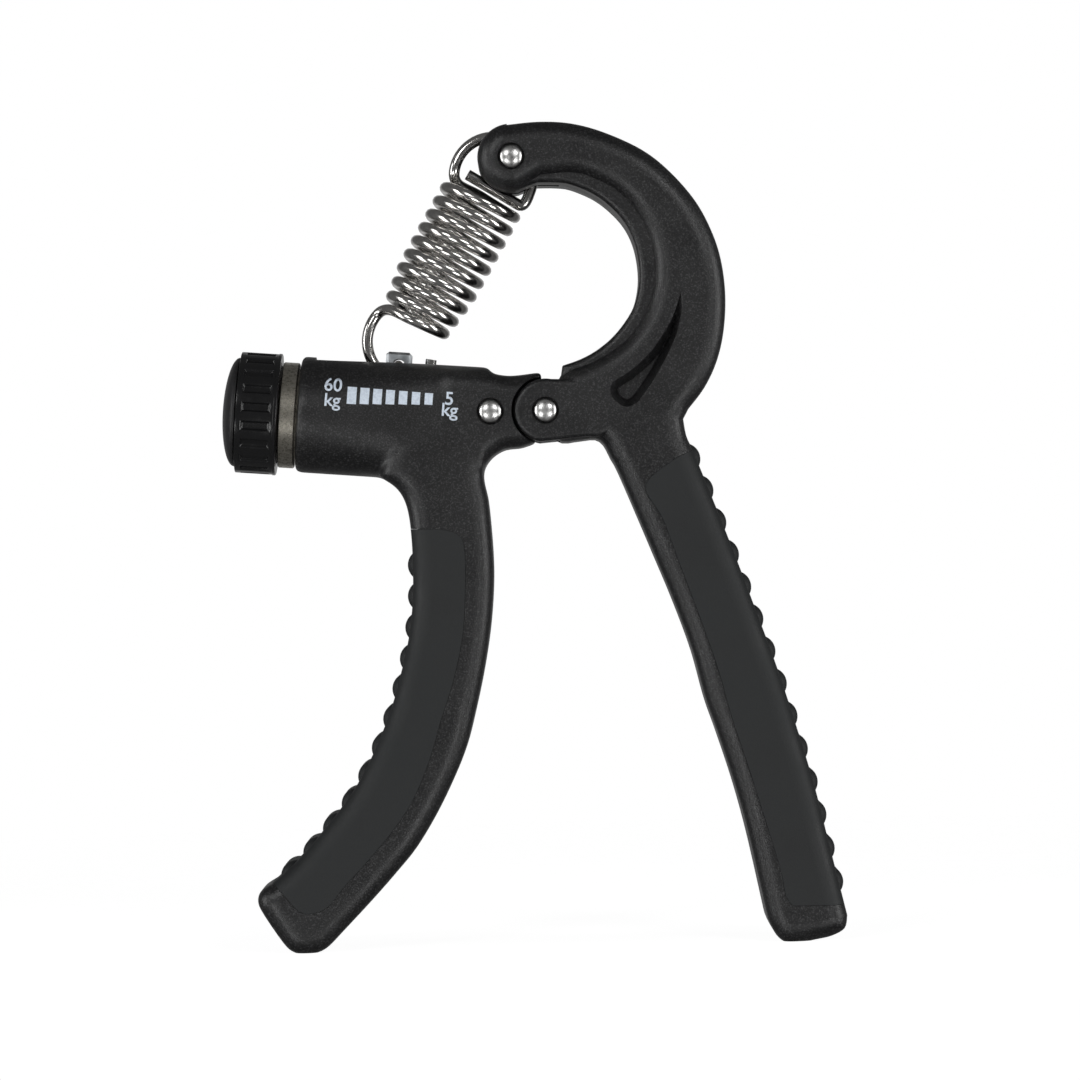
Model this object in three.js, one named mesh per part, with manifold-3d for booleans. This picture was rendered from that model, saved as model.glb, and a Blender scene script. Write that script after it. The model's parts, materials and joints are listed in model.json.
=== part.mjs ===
// Adjustable spring hand grip: a fixed handle with a barrel, a lever handle hinged on it, and an
// extension spring whose lower hook is moved along the barrel by a knob and a lead screw.
// Millimetres, +Z up, +X to the right as seen from the front, +Y away from the viewer.
// Everything is drawn in a frame with its zero on the hinge axis. At the end the whole part is
// turned level on its two handle tips, and its zero goes to the middle of the surface it stands on.

import * as THREE from 'three';
import { mergeVertices } from 'three/addons/utils/BufferGeometryUtils.js';
import Module from 'manifold-3d';

const wasm = await Module();
wasm.setup();

// Driving sizes, in millimetres
const bodyWidth = 22.4;
const edgeRound = 2.0;
const clearance = 0.3;
const overrun = 6;

const armRise = 55.1;
const armReach = 34.1;
const legDrop = 101.6;
const legReach = 58.4;
const holdDrop = 103.8;
const holdReach = 55.1;
const footFlat = 0.4;

const rubberWrap = 2.2;
const holdStudCount = 12;
const legStudCount = 14;
const studRadius = 3.1;
const studHeight = 1.0;
const studLength = 16.5;

const earRadius = 6.05;
const earGap = 0.45;
const earEdge = 0.5;
const tongueRadius = 5.9;
const tongueWidth = 9.0;
const hingeWasherThick = 0.8;
const hingeWasherRadius = 5.2;
const hingeBushRadius = 4.5;
const hingeShankRadius = 1.75;

const rivetShankRadius = 1.5;
const rivetHeadRadius = 2.3;
const rivetHeadRise = 1.3;
const counterboreRadius = 2.6;
const counterboreDepth = 1.0;

const barrelInset = 0.05;
const barrelRadius = bodyWidth / 2 - barrelInset;
const barrelTiltDegrees = 3.6;
const mouthX = -47.1;
const mouthZ = -0.85;
const barrelLoftLength = 36;
const barrelStationShares = [0.2, 0.45, 0.7, 1];
const roundSquareness = 2;
const hubSquareness = 5;
const mouthRound = 0.7;

const linerRadius = 8.6;
const linerWall = 1.2;
const linerLength = 34;
const collarRadius = 10.15;
const collarLength = 3.1;
const collarGap = 0.6;
const slotStart = 2.4;
const slotEnd = 31.0;

const plugThick = 3;
const plugLugLength = 5.2;
const plugLugHeight = 6.4;
const plugLugWidth = 8;
const plugLugDrop = 1.28;
const linerRivetX = -10.5;
const linerRivetZ = -0.2;

const knobRadius = 11.6;
const knobLength = 7.8;
const knobGap = 0.35;
const knobRibCount = 20;
const knobRibDepth = 0.6;
const knobRibShares = [[-0.34, 0], [0.34, 0], [0.42, 1], [0.58, 1]];
const knobEdge = 0.5;
const knobWebThick = 4.4;
const knobRecessRadius = 9.6;
const knobRimRadius = 11.7;
const knobRimLength = 0.7;
const capRadius = 10.45;
const capRise = 2.7;
const capSkirtRadius = 9.3;
const capSkirtLength = 2.8;
const capWall = 1.1;
const knobScrewHeadRadius = 3.4;
const knobScrewHeadRise = 1.9;
const knobScrewRadius = 1.3;
const knobScrewLength = 6;

const screwRadius = 3.9;
const journalRadius = 3.0;
const screwEnd = 29.6;
const screwNoseLength = 1.4;
const bushInset = 6.4;
const thrustWasherRadius = 9.2;
const thrustWasherThick = 0.5;
const clipRadius = 5.0;
const clipThick = 0.8;
const clipGrooveDepth = 0.8;
const clipMouthDegrees = 70;

const nutLength = 8;
const nutLugLength = 4.9;
const nutLugWidth = 6.2;
const nutLugProud = 2.3;
const nutLugBevel = 0.4;
const nutLugFoot = 4.2;
const nutGapFloor = 5.0;
const nutRestStation = 18.3;
const anchorHeight = 10.9;

const wireRadius = 1.06;
const wireGap = 0.45;
const coilRadius = 7.1;
const coilEndRadius = 6.0;
const coilShift = -1.55;
const coilTurns = 9.5;
const coilTaperTurns = 3;
const coilFoot = 8.8;
const coilHead = 8.6;
const coilFirstTurnShare = 0.25;
const coilLeadSlope = 0.1;
const lowerLoopRadius = 7.9;
const lowerLoopShift = -0.6;
const lowerLoopDegrees = [-35, -186];
const lowerTipShares = [0.73, -0.24];
const upperLoopRadius = 7.6;
const upperLoopShift = -1.5;
const upperLoopDegrees = [195, -8];
const hookPullShare = 1.17;
const hookChordShares = [0.62, -0.28];
const hookTipShares = [-0.60, -0.27];
const anchorPinRadius = 0.85;
const anchorBushRadius = 1.6;
const spoolRadius = 1.6;
const eyeShankRadius = 0.9;

const eyeShares = [-0.1921, 0.8766];
const eyeX = eyeShares[0] * armReach;
const eyeZ = eyeShares[1] * armRise;
const eyeRadius = 6.45;
const eyeArcDegrees = [98, 283];
const eyeSlotRadius = 10.4;
const pocketDepth = 3.0;
const pocketEdge = 0.6;

// Outlines as shares of the reach and of the rise or drop, read off the photograph by eye
const armOuterShares = [
  [-0.215, 0.989], [-0.032, 1.000], [0.150, 0.993], [0.332, 0.962], [0.542, 0.902], [0.699, 0.825],
  [0.842, 0.722], [0.936, 0.611], [0.987, 0.505], [1.007, 0.383], [0.993, 0.260], [0.952, 0.160],
  [0.886, 0.076], [0.799, 0.005],
];
const armInnerShares = [
  [-0.045, 0.787], [0.060, 0.787], [0.145, 0.779], [0.278, 0.743], [0.385, 0.690], [0.456, 0.635],
  [0.501, 0.569], [0.522, 0.492], [0.519, 0.426], [0.492, 0.360], [0.439, 0.303], [0.367, 0.250],
  [0.278, 0.206], [0.190, 0.177], [0.098, 0.157],
];
const notchShares = [[0.092, 0.152], [0.085, 0.120], [0.044, 0.073]];
const legOuterShares = [
  [0.450, -0.016], [0.460, -0.047], [0.480, -0.073], [0.531, -0.144], [0.609, -0.256],
  [0.685, -0.371], [0.754, -0.478], [0.819, -0.591], [0.879, -0.705], [0.931, -0.823],
  [0.986, -0.947],
];
const legTipShares = [
  [0.986, -0.947], [0.978, -0.971], [0.938, -0.985], [0.888, -0.992], [0.805, -1.000],
  [0.762, -0.989], [0.734, -0.964], [0.724, -0.948],
];
const legInnerShares = [
  [0.724, -0.948], [0.665, -0.799], [0.616, -0.697], [0.562, -0.604], [0.524, -0.542], [0.479, -0.449],
  [0.418, -0.355], [0.358, -0.273], [0.298, -0.192], [0.238, -0.113], [0.215, -0.089], [0.191, -0.063],
  [0.165, -0.053], [0.129, -0.0545], [0.096, -0.057], [0.055, -0.059], [0.010, -0.045],
];
const pocketOuterShares = [
  [0.757, 0.411], [0.764, 0.367], [0.738, 0.278], [0.685, 0.197], [0.607, 0.108], [0.516, 0.028],
];
const pocketInnerShares = [
  [0.516, 0.028], [0.449, 0.011], [0.371, 0.045], [0.371, 0.092], [0.464, 0.132], [0.568, 0.189],
  [0.646, 0.254], [0.711, 0.326], [0.757, 0.411],
];
const legPanelShares = [
  [0.425, -0.090], [0.327, -0.140], [0.383, -0.204], [0.441, -0.293], [0.503, -0.387], [0.562, -0.484],
  [0.610, -0.580], [0.675, -0.692], [0.762, -0.853], [0.783, -0.909], [0.806, -0.927],
];
const legPanelOutsideShares = [[1.150, -0.924], [0.700, -0.060], [0.500, -0.068]];
const holdTopShares = [
  [-0.360, 0.0785], [-0.226, 0.074], [-0.170, 0.067], [-0.132, 0.064], [-0.094, 0.065], [-0.012, 0.071],
];
const holdInnerShares = [
  [-0.032, -0.058], [-0.088, -0.068], [-0.136, -0.070], [-0.184, -0.085], [-0.213, -0.108],
  [-0.213, -0.130], [-0.199, -0.161], [-0.189, -0.208], [-0.181, -0.262], [-0.179, -0.320],
  [-0.189, -0.397], [-0.211, -0.476], [-0.241, -0.553], [-0.272, -0.618], [-0.318, -0.679],
  [-0.377, -0.743], [-0.445, -0.803], [-0.512, -0.847], [-0.596, -0.898], [-0.708, -0.962],
];
const holdTipShares = [
  [-0.708, -0.962], [-0.762, -0.990], [-0.823, -1.000], [-0.873, -0.995], [-0.908, -0.978],
  [-0.979, -0.923], [-0.997, -0.899], [-0.980, -0.880], [-0.939, -0.866],
];
const holdOuterShares = [
  [-0.939, -0.866], [-0.853, -0.824], [-0.781, -0.780], [-0.715, -0.736], [-0.657, -0.692],
  [-0.608, -0.644], [-0.567, -0.595], [-0.529, -0.540], [-0.501, -0.485], [-0.477, -0.430],
  [-0.463, -0.375], [-0.458, -0.320], [-0.463, -0.238], [-0.480, -0.177], [-0.515, -0.143],
  [-0.575, -0.122],
];
const holdRootShares = [[-0.540, -0.060], [-0.400, 0.020]];
const holdPanelShares = [
  [-0.363, -0.218], [-0.300, -0.228], [-0.278, -0.262], [-0.279, -0.364], [-0.289, -0.424],
  [-0.320, -0.500], [-0.360, -0.567], [-0.401, -0.642], [-0.457, -0.714], [-0.529, -0.772],
  [-0.622, -0.831], [-0.691, -0.871], [-0.751, -0.910], [-0.808, -0.922], [-0.850, -0.918],
  [-0.899, -0.890],
];
const holdPanelOutsideShares = [[-0.975, -0.850], [-1.060, -0.800], [-0.640, -0.218]];
const legStudSpanShares = [0.072, 0.930];
const holdStudSpanShares = [0.045, 0.780];

// Mesh fineness
const curveStep = 4.2;
const tipStep = 2.2;
const edgeSteps = 2;
const roundSides = 16;
const bigSides = 32;
const studSteps = 2;
const studSides = 12;
const coilSteps = 8;
const wireSides = 5;
const hookStepDegrees = 15;
const hookLeadSteps = 6;
const hookTipSteps = 4;
const rivetDomeCount = 5;
const capDomeCount = 6;
const weldGap = 1e-4;
const drawnTogether = 0.25;
const keptShare = 0.99;

const degrees = Math.PI / 180;
const halfWidth = bodyWidth / 2;

// Manifold solids from three.js geometry, and back
function solidOf(geometry) {
  const bare = new THREE.BufferGeometry();
  bare.setAttribute('position', geometry.getAttribute('position').clone());
  if (geometry.index) bare.setIndex(geometry.index.clone());
  const merged = mergeVertices(bare, weldGap);
  const corners = merged.index.array;
  const kept = [];
  for (let i = 0; i < corners.length; i += 3) {
    const [a, b, c] = [corners[i], corners[i + 1], corners[i + 2]];
    if (a !== b && b !== c && c !== a) kept.push(a, b, c);
  }
  return new wasm.Manifold(new wasm.Mesh({
    numProp: 3,
    vertProperties: Float32Array.from(merged.getAttribute('position').array),
    triVerts: Uint32Array.from(kept),
  }));
}

function meshOf(name, solid, material) {
  const { vertProperties, triVerts } = solid.getMesh();
  const geometry = new THREE.BufferGeometry();
  geometry.setAttribute('position', new THREE.BufferAttribute(vertProperties, 3));
  geometry.setIndex(new THREE.BufferAttribute(triVerts, 1));
  geometry.computeVertexNormals();
  const mesh = new THREE.Mesh(geometry, material);
  mesh.name = name;
  return mesh;
}

// Outlines lie in the X-Z plane and are kept as 2-D points (x, z)
const scaled = (shares, reach, rise) => shares.map(([x, z]) => new THREE.Vector2(x * reach, z * rise));

function smooth(points, step) {
  const curve = new THREE.SplineCurve(points);
  return curve.getSpacedPoints(Math.max(2, Math.round(curve.getLength() / step)));
}

function arc(x, z, radius, fromDegrees, toDegrees, step) {
  const length = Math.abs(toDegrees - fromDegrees) * degrees * radius;
  const count = Math.max(3, Math.round(length / step));
  return Array.from({ length: count + 1 }, (_, i) => {
    const angle = (fromDegrees + (toDegrees - fromDegrees) * i / count) * degrees;
    return new THREE.Vector2(x + radius * Math.cos(angle), z + radius * Math.sin(angle));
  });
}

function joined(...runs) {
  const points = [];
  for (const point of runs.flat()) {
    const last = points[points.length - 1];
    if (!last || last.distanceTo(point) > weldGap) points.push(point);
  }
  if (points[0].distanceTo(points[points.length - 1]) < weldGap) points.pop();
  return points;
}

// A clockwise outline moved inwards by a distance. Points that tight corners would cross over are
// drawn together.
function movedIn(outline, distance) {
  if (distance === 0) return outline;
  const count = outline.length;
  const edges = outline.map((point, i) => {
    const along = outline[(i + 1) % count].clone().sub(point).normalize();
    return new THREE.Vector2(along.y, -along.x);
  });
  const flat = outline.map((point) => new THREE.Vector3(point.x, point.y, 0));
  const lines = flat.map((point, i) => new THREE.Line3(point, flat[(i + 1) % count]));
  const near = new THREE.Vector3();
  const spaceAt = (spot) => Math.min(
    ...lines.map((line) => line.closestPointToPoint(spot, true, near).distanceTo(spot)),
  );
  const moved = outline.map((point, i) => {
    const [before, after] = [edges[(i + count - 1) % count], edges[i]];
    const mitre = before.clone().add(after).divideScalar(1 + before.dot(after));
    const place = point.clone().addScaledVector(mitre, distance);
    const space = spaceAt(new THREE.Vector3(place.x, place.y, 0));
    return { place, kept: space > Math.abs(distance) * keptShare };
  });
  if (!moved.some(({ kept }) => kept)) throw new Error('an outline is too narrow to be moved in');
  const places = moved.map(({ place, kept }, i) => {
    if (kept) return place;
    let [back, forth] = [i, i];
    while (!moved[back].kept) back = (back + count - 1) % count;
    while (!moved[forth].kept) forth = (forth + 1) % count;
    return moved[back].place.clone().lerp(moved[forth].place, 0.5);
  });
  for (let i = 1; i < count; i += 1) {
    if (places[i].distanceTo(places[i - 1]) < drawnTogether) places[i] = places[i - 1];
  }
  return places;
}

// A slab of an outline, centred on the X-Z plane, with its edges rounded and its skin moved in
function slab(outline, width, round, inset = 0) {
  const clockwise = THREE.ShapeUtils.isClockWise(outline) ? outline : [...outline].reverse();
  const layers = [];
  for (let i = 0; i <= edgeSteps; i += 1) {
    const angle = i / edgeSteps * Math.PI / 2;
    layers.push({
      deep: inset + round * (1 - Math.sin(angle)),
      y: width / 2 - inset - round * (1 - Math.cos(angle)),
    });
  }
  const front = round > 0 ? layers : [{ deep: inset, y: width / 2 }];
  const back = front.map(({ deep, y }) => ({ deep, y: -y })).reverse();
  const rings = [...front, ...back].map(({ deep, y }) => (
    movedIn(clockwise, deep).map((point) => new THREE.Vector3(point.x, y, point.y))
  ));
  return stackedBody(rings.reverse());
}

// A round peg across the body, from one y to another
function peg(radius, fromY, toY, x = 0, z = 0, sides = roundSides) {
  const geometry = new THREE.CylinderGeometry(radius, radius, toY - fromY, sides);
  geometry.translate(x, (fromY + toY) / 2, z);
  return geometry;
}

function ring(outer, inner, fromY, toY, x = 0, z = 0, sides = roundSides) {
  const hole = solidOf(peg(inner, fromY - overrun, toY + overrun, x, z, sides));
  return solidOf(peg(outer, fromY, toY, x, z, sides)).subtract(hole);
}

// A turned piece along the barrel: profile points are [station, radius]
function turned(profile, sides = roundSides) {
  const geometry = new THREE.LatheGeometry(profile.map(([u, r]) => new THREE.Vector2(r, u)), sides);
  geometry.rotateZ(-Math.PI / 2);
  return solidOf(geometry);
}

function turnedRing(outer, inner, from, to, sides = roundSides) {
  return turned([[from, inner], [from, outer], [to, outer], [to, inner], [from, inner]], sides);
}

// The wall through rings of points that have the same number of points
function wallOf(rings) {
  const sides = rings[0].length;
  const triangles = [];
  for (let i = 0; i < rings.length - 1; i += 1) {
    for (let j = 0; j < sides; j += 1) {
      const [a, b] = [i * sides + j, i * sides + (j + 1) % sides];
      triangles.push(a, b, a + sides, b, b + sides, a + sides);
    }
  }
  return triangles;
}

// A body through flat rings across the hand, closed by a flat face at each end
function stackedBody(rings) {
  const triangles = wallOf(rings);
  const sides = rings[0].length;
  const addFace = (start, flip) => {
    const face = rings[start / sides];
    const kept = face.map((_, j) => j)
      .filter((j) => face[j].distanceTo(face[(j + sides - 1) % sides]) > weldGap);
    const flat = kept.map((j) => new THREE.Vector2(face[j].x, face[j].z));
    const corners = THREE.ShapeUtils.triangulateShape(flat, []);
    for (const [a, b, c] of corners) {
      const [p, q, r] = [a, b, c].map((corner) => start + kept[corner]);
      triangles.push(p, flip ? r : q, flip ? q : r);
    }
  };
  addFace(0, false);
  addFace((rings.length - 1) * sides, true);
  const geometry = new THREE.BufferGeometry().setFromPoints(rings.flat());
  geometry.setIndex(triangles);
  return geometry;
}

// A body through rings of points, closed by a fan at each end
function ringBody(rings) {
  const sides = rings[0].length;
  const positions = rings.flat();
  const triangles = wallOf(rings);
  const addCap = (start, flip) => {
    const centre = new THREE.Vector3();
    for (let j = 0; j < sides; j += 1) centre.addScaledVector(positions[start + j], 1 / sides);
    positions.push(centre);
    const hub = positions.length - 1;
    for (let j = 0; j < sides; j += 1) {
      const [a, b] = [start + j, start + (j + 1) % sides];
      triangles.push(hub, flip ? b : a, flip ? a : b);
    }
  };
  addCap(0, true);
  addCap((rings.length - 1) * sides, false);
  const geometry = new THREE.BufferGeometry().setFromPoints(positions);
  geometry.setIndex(triangles);
  return geometry;
}

// Places along the barrel: u from its mouth towards the hinge, y across, w up
const barrelTilt = barrelTiltDegrees * degrees;
const barrelPlace = new THREE.Matrix4().makeRotationY(barrelTilt).setPosition(mouthX, 0, mouthZ);
const inBarrel = (geometry) => geometry.applyMatrix4(barrelPlace);
const barrelPoint = (u, w) => new THREE.Vector3(u, 0, w).applyMatrix4(barrelPlace);

function barrelBox(fromU, toU, width, fromW, toW) {
  const geometry = new THREE.BoxGeometry(toU - fromU, width, toW - fromW);
  geometry.translate((fromU + toU) / 2, 0, (fromW + toW) / 2);
  return solidOf(inBarrel(geometry));
}

const intoHand = (solid) => solid.transform(barrelPlace.elements);

// Outlines of the two handle bodies
const armOuter = smooth(scaled(armOuterShares, armReach, armRise), curveStep);
const armInner = smooth(scaled(armInnerShares, armReach, armRise), curveStep);
const legOuter = smooth(scaled(legOuterShares, legReach, legDrop), curveStep);
const legTip = smooth(scaled(legTipShares, legReach, legDrop), tipStep);
const legInner = smooth(scaled(legInnerShares, legReach, legDrop), curveStep);
const eyeArc = arc(eyeX, eyeZ, eyeRadius, ...eyeArcDegrees, tipStep);
const leverOutline = joined(
  armOuter, legOuter, legTip, legInner, scaled(notchShares, armReach, armRise).reverse(),
  [...armInner].reverse(), [...eyeArc].reverse(),
);

const holdTop = smooth(scaled(holdTopShares, holdReach, holdDrop), curveStep);
const holdInner = smooth(scaled(holdInnerShares, holdReach, holdDrop), curveStep);
const holdTip = smooth(scaled(holdTipShares, holdReach, holdDrop), tipStep);
const holdOuter = smooth(scaled(holdOuterShares, holdReach, holdDrop), curveStep);
const holdRoot = scaled(holdRootShares, holdReach, holdDrop);
const holdOutline = joined(holdTop, holdInner, holdTip, holdOuter, holdRoot);

// The line under both tips gives the turn that stands the part level
function lowest(points, turn) {
  const height = (point) => point.y * Math.cos(turn) - point.x * Math.sin(turn);
  return points.reduce((low, point) => (height(point) < height(low) ? point : low));
}

let standTurn = 0;
for (let round = 0; round < 4; round += 1) {
  const [left, right] = [lowest(holdOutline, standTurn), lowest(leverOutline, standTurn)];
  standTurn = Math.atan2(right.y - left.y, right.x - left.x);
}
const standLow = lowest(holdOutline, standTurn);
const standHeight = standLow.y * Math.cos(standTurn) - standLow.x * Math.sin(standTurn);

function belowFeet() {
  const size = legReach + holdReach + overrun;
  const geometry = new THREE.BoxGeometry(2 * size, bodyWidth + overrun, size);
  geometry.translate(0, 0, standHeight + footFlat - size / 2);
  geometry.rotateY(-standTurn);
  return solidOf(geometry);
}

// Rivets: a shank with a low dome at each end, sunk in a counterbore
const rivetSeat = halfWidth - counterboreDepth + clearance;

function rivet(shankRadius, x, z) {
  const dome = Array.from({ length: rivetDomeCount + 1 }, (_, i) => {
    const angle = i / rivetDomeCount * Math.PI / 2;
    return new THREE.Vector2(rivetHeadRadius * Math.cos(angle), rivetSeat + rivetHeadRise * Math.sin(angle));
  });
  dome.at(-1).x = 0;
  const upper = [new THREE.Vector2(shankRadius, rivetSeat), ...dome];
  const lower = upper.map((point) => new THREE.Vector2(point.x, -point.y)).reverse();
  const geometry = new THREE.LatheGeometry([...lower, ...upper], roundSides);
  geometry.translate(x, 0, z);
  return solidOf(geometry);
}

function rivetHole(shankRadius, x, z) {
  const reach = halfWidth + overrun;
  const seat = halfWidth - counterboreDepth;
  return solidOf(peg(shankRadius + clearance, -reach, reach, x, z))
    .add(solidOf(peg(counterboreRadius, seat, reach, x, z)))
    .add(solidOf(peg(counterboreRadius, -reach, -seat, x, z)));
}

// Rubber panels: the part of a handle's skin inside a panel line, with a row of cross studs
function panelZone(panel, outside, reach, drop, grow) {
  const outline = joined(smooth(scaled(panel, reach, drop), curveStep), scaled(outside, reach, drop));
  return solidOf(slab(outline, bodyWidth + 2 * overrun, 0, -grow));
}

function studs(outer, spanShares, count) {
  const curve = new THREE.SplineCurve(outer);
  let all = null;
  for (let i = 0; i < count; i += 1) {
    const share = THREE.MathUtils.lerp(...spanShares, i / (count - 1));
    const point = curve.getPointAt(share);
    const along = curve.getTangentAt(share);
    const geometry = new THREE.CapsuleGeometry(studRadius, studLength - 2 * studRadius, studSteps, studSides);
    const sink = studRadius - studHeight;
    geometry.translate(point.x + along.y * sink, 0, point.y - along.x * sink);
    const stud = solidOf(geometry);
    all = all ? all.add(stud) : stud;
  }
  return all;
}

function wrapped(outline, panel, outside, reach, drop, studRow) {
  const envelope = solidOf(slab(outline, bodyWidth, edgeRound));
  const rubberCore = solidOf(slab(outline, bodyWidth, edgeRound, rubberWrap));
  const bodyCore = solidOf(slab(outline, bodyWidth, edgeRound, rubberWrap + clearance));
  const zone = panelZone(panel, outside, reach, drop, 0);
  const zoneGrown = panelZone(panel, outside, reach, drop, clearance);
  return {
    grip: envelope.intersect(zone).add(studRow.intersect(zone)).subtract(rubberCore),
    body: envelope.subtract(zoneGrown).add(bodyCore),
  };
}

// Lever: arm with the spring eye, hinge ears and handle
const earWidth = (bodyWidth - tongueWidth) / 2 - hingeWasherThick - 2 * clearance;
const forkHalf = halfWidth - earWidth;
const eyeSlotHalf = wireRadius + wireGap;

function leverSolids() {
  const studRow = studs(legOuter, legStudSpanShares, legStudCount);
  const parts = wrapped(leverOutline, legPanelShares, legPanelOutsideShares, legReach, legDrop, studRow);
  const ears = solidOf(slab(arc(0, 0, earRadius, 0, 360, tipStep).slice(1), bodyWidth, earEdge));
  const fork = solidOf(peg(tongueRadius + 2 * clearance, -forkHalf, forkHalf, 0, 0, bigSides));
  const eyeSlot = solidOf(peg(eyeSlotRadius, -eyeSlotHalf, eyeSlotHalf, eyeX, eyeZ, bigSides));
  const pocketOutline = joined(
    smooth(scaled(pocketOuterShares, armReach, armRise), curveStep),
    smooth(scaled(pocketInnerShares, armReach, armRise), tipStep),
  );
  const pocket = solidOf(slab(pocketOutline, 2 * pocketDepth, pocketEdge));
  const body = parts.body
    .add(ears)
    .subtract(fork)
    .subtract(eyeSlot)
    .subtract(rivetHole(hingeShankRadius, 0, 0))
    .subtract(rivetHole(eyeShankRadius, eyeX, eyeZ))
    .subtract(pocket.translate([0, halfWidth, 0]))
    .subtract(pocket.translate([0, -halfWidth, 0]))
    .subtract(belowFeet());
  return { body, grip: parts.grip };
}

// Fixed handle: barrel, hub with the hinge tongue, and handle
function barrelLoft() {
  const sides = bigSides;
  const stations = [0, mouthRound, ...barrelStationShares.map((share) => share * barrelLoftLength)];
  const rings = stations.map((u, i) => {
    const squareness = THREE.MathUtils.lerp(roundSquareness, hubSquareness, (u / barrelLoftLength) ** 2);
    const size = i === 0 ? barrelRadius - mouthRound : barrelRadius;
    return Array.from({ length: sides }, (_, j) => {
      const angle = j / sides * 2 * Math.PI;
      const [c, s] = [Math.cos(angle), Math.sin(angle)];
      const radius = size / (Math.abs(c) ** squareness + Math.abs(s) ** squareness) ** (1 / squareness);
      return new THREE.Vector3(u, radius * c, radius * s);
    });
  });
  return solidOf(inBarrel(ringBody(rings)));
}

const linerBore = linerRadius - linerWall;
const nutSlotWidth = nutLugWidth + 2 * wireGap;
const plugLugX = linerRivetX - plugLugLength / 2 - clearance;

function plugLug(grow) {
  const geometry = new THREE.BoxGeometry(
    plugLugLength + overrun + 2 * grow, plugLugWidth + 2 * grow, plugLugHeight + 2 * grow,
  );
  geometry.translate(plugLugX + (plugLugLength - overrun) / 2 + clearance, 0, linerRivetZ - plugLugDrop);
  return solidOf(geometry);
}

function fixedSolids() {
  const studRow = studs(holdOuter, holdStudSpanShares, holdStudCount);
  const parts = wrapped(holdOutline, holdPanelShares, holdPanelOutsideShares, holdReach, holdDrop, studRow);
  const tongueHalf = tongueWidth / 2;
  const reach = halfWidth + overrun;
  const earSpace = (fromY, toY) => solidOf(peg(earRadius + earGap, fromY, toY, 0, 0, bigSides));
  const body = parts.body
    .add(barrelLoft())
    .subtract(earSpace(tongueHalf, reach))
    .subtract(earSpace(-reach, -tongueHalf))
    .add(solidOf(peg(tongueRadius, -tongueHalf, tongueHalf, 0, 0, bigSides)))
    .subtract(solidOf(peg(hingeBushRadius + clearance, -reach, reach)))
    .subtract(intoHand(turned([
      [-overrun, 0], [-overrun, linerRadius + clearance],
      [linerLength + clearance, linerRadius + clearance], [linerLength + clearance, 0],
    ], bigSides)))
    .subtract(barrelBox(slotStart, slotEnd, nutSlotWidth, 0, barrelRadius + overrun))
    .subtract(plugLug(clearance))
    .subtract(rivetHole(rivetShankRadius, linerRivetX, linerRivetZ))
    .subtract(belowFeet());
  return { body, grip: parts.grip };
}

// Liner tube with its bright collar, the plug in its far end and the bush in its mouth
function linerSolid() {
  const collarEnd = -collarGap;
  const collarStart = collarEnd - collarLength;
  const tube = turned([
    [collarStart, linerBore], [collarStart, collarRadius], [collarEnd, collarRadius],
    [collarEnd, linerRadius], [linerLength, linerRadius], [linerLength, linerBore],
    [collarStart, linerBore],
  ], bigSides);
  const slot = new THREE.BoxGeometry(slotEnd - slotStart, nutSlotWidth, barrelRadius);
  slot.translate((slotStart + slotEnd) / 2, 0, barrelRadius / 2);
  return tube.subtract(solidOf(slot));
}

function plugSolid() {
  const disc = intoHand(turned([
    [linerLength - plugThick, 0], [linerLength - plugThick, linerBore - clearance],
    [linerLength, linerBore - clearance], [linerLength, 0],
  ]));
  const start = new THREE.BoxGeometry(2 * linerLength, bodyWidth, 2 * barrelRadius);
  start.translate(-plugThick / 2, 0, 0);
  const lug = plugLug(0).subtract(solidOf(inBarrel(start)));
  return disc.add(lug).subtract(solidOf(peg(
    rivetShankRadius + clearance, -bodyWidth, bodyWidth, linerRivetX, linerRivetZ,
  )));
}

const collarFace = -collarGap - collarLength;
const knobFace = collarFace - knobGap;
const bushEnd = collarFace + bushInset;
const clipFace = bushEnd + clearance;
const washerFace = collarFace - clearance - thrustWasherThick;
const webFace = knobFace - knobWebThick;

// Knob: ribbed ring, domed cap, lead screw, screw under the cap and the clip behind the bush
function knobRingSolid() {
  const points = [];
  for (let i = 0; i < knobRibCount; i += 1) {
    for (const [pitchShare, depthShare] of knobRibShares) {
      const angle = (i + pitchShare) * 2 * Math.PI / knobRibCount;
      const radius = knobRadius - depthShare * knobRibDepth;
      points.push(new THREE.Vector2(radius * Math.cos(angle), radius * Math.sin(angle)));
    }
  }
  const geometry = new THREE.ExtrudeGeometry(new THREE.Shape(points), {
    depth: knobLength - 2 * knobEdge,
    bevelThickness: knobEdge,
    bevelSize: knobEdge,
    bevelOffset: -knobEdge,
    bevelSegments: 1,
  });
  geometry.rotateY(-Math.PI / 2);
  geometry.translate(knobFace - knobEdge, 0, 0);
  const recess = [
    [knobFace - knobLength - overrun, 0], [knobFace - knobLength - overrun, knobRecessRadius],
    [webFace, knobRecessRadius], [webFace, 0],
  ];
  const washerSeat = [
    [washerFace - clearance, 0], [washerFace - clearance, thrustWasherRadius + clearance],
    [knobFace + overrun, thrustWasherRadius + clearance], [knobFace + overrun, 0],
  ];
  const bore = [
    [webFace - overrun, 0], [webFace - overrun, journalRadius + clearance],
    [overrun, journalRadius + clearance], [overrun, 0],
  ];
  const rim = turnedRing(knobRimRadius, knobRecessRadius, knobFace - knobRimLength, knobFace, bigSides);
  return solidOf(geometry).add(rim).subtract(turned(recess, bigSides)).subtract(turned(washerSeat, bigSides))
    .subtract(turned(bore));
}

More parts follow.
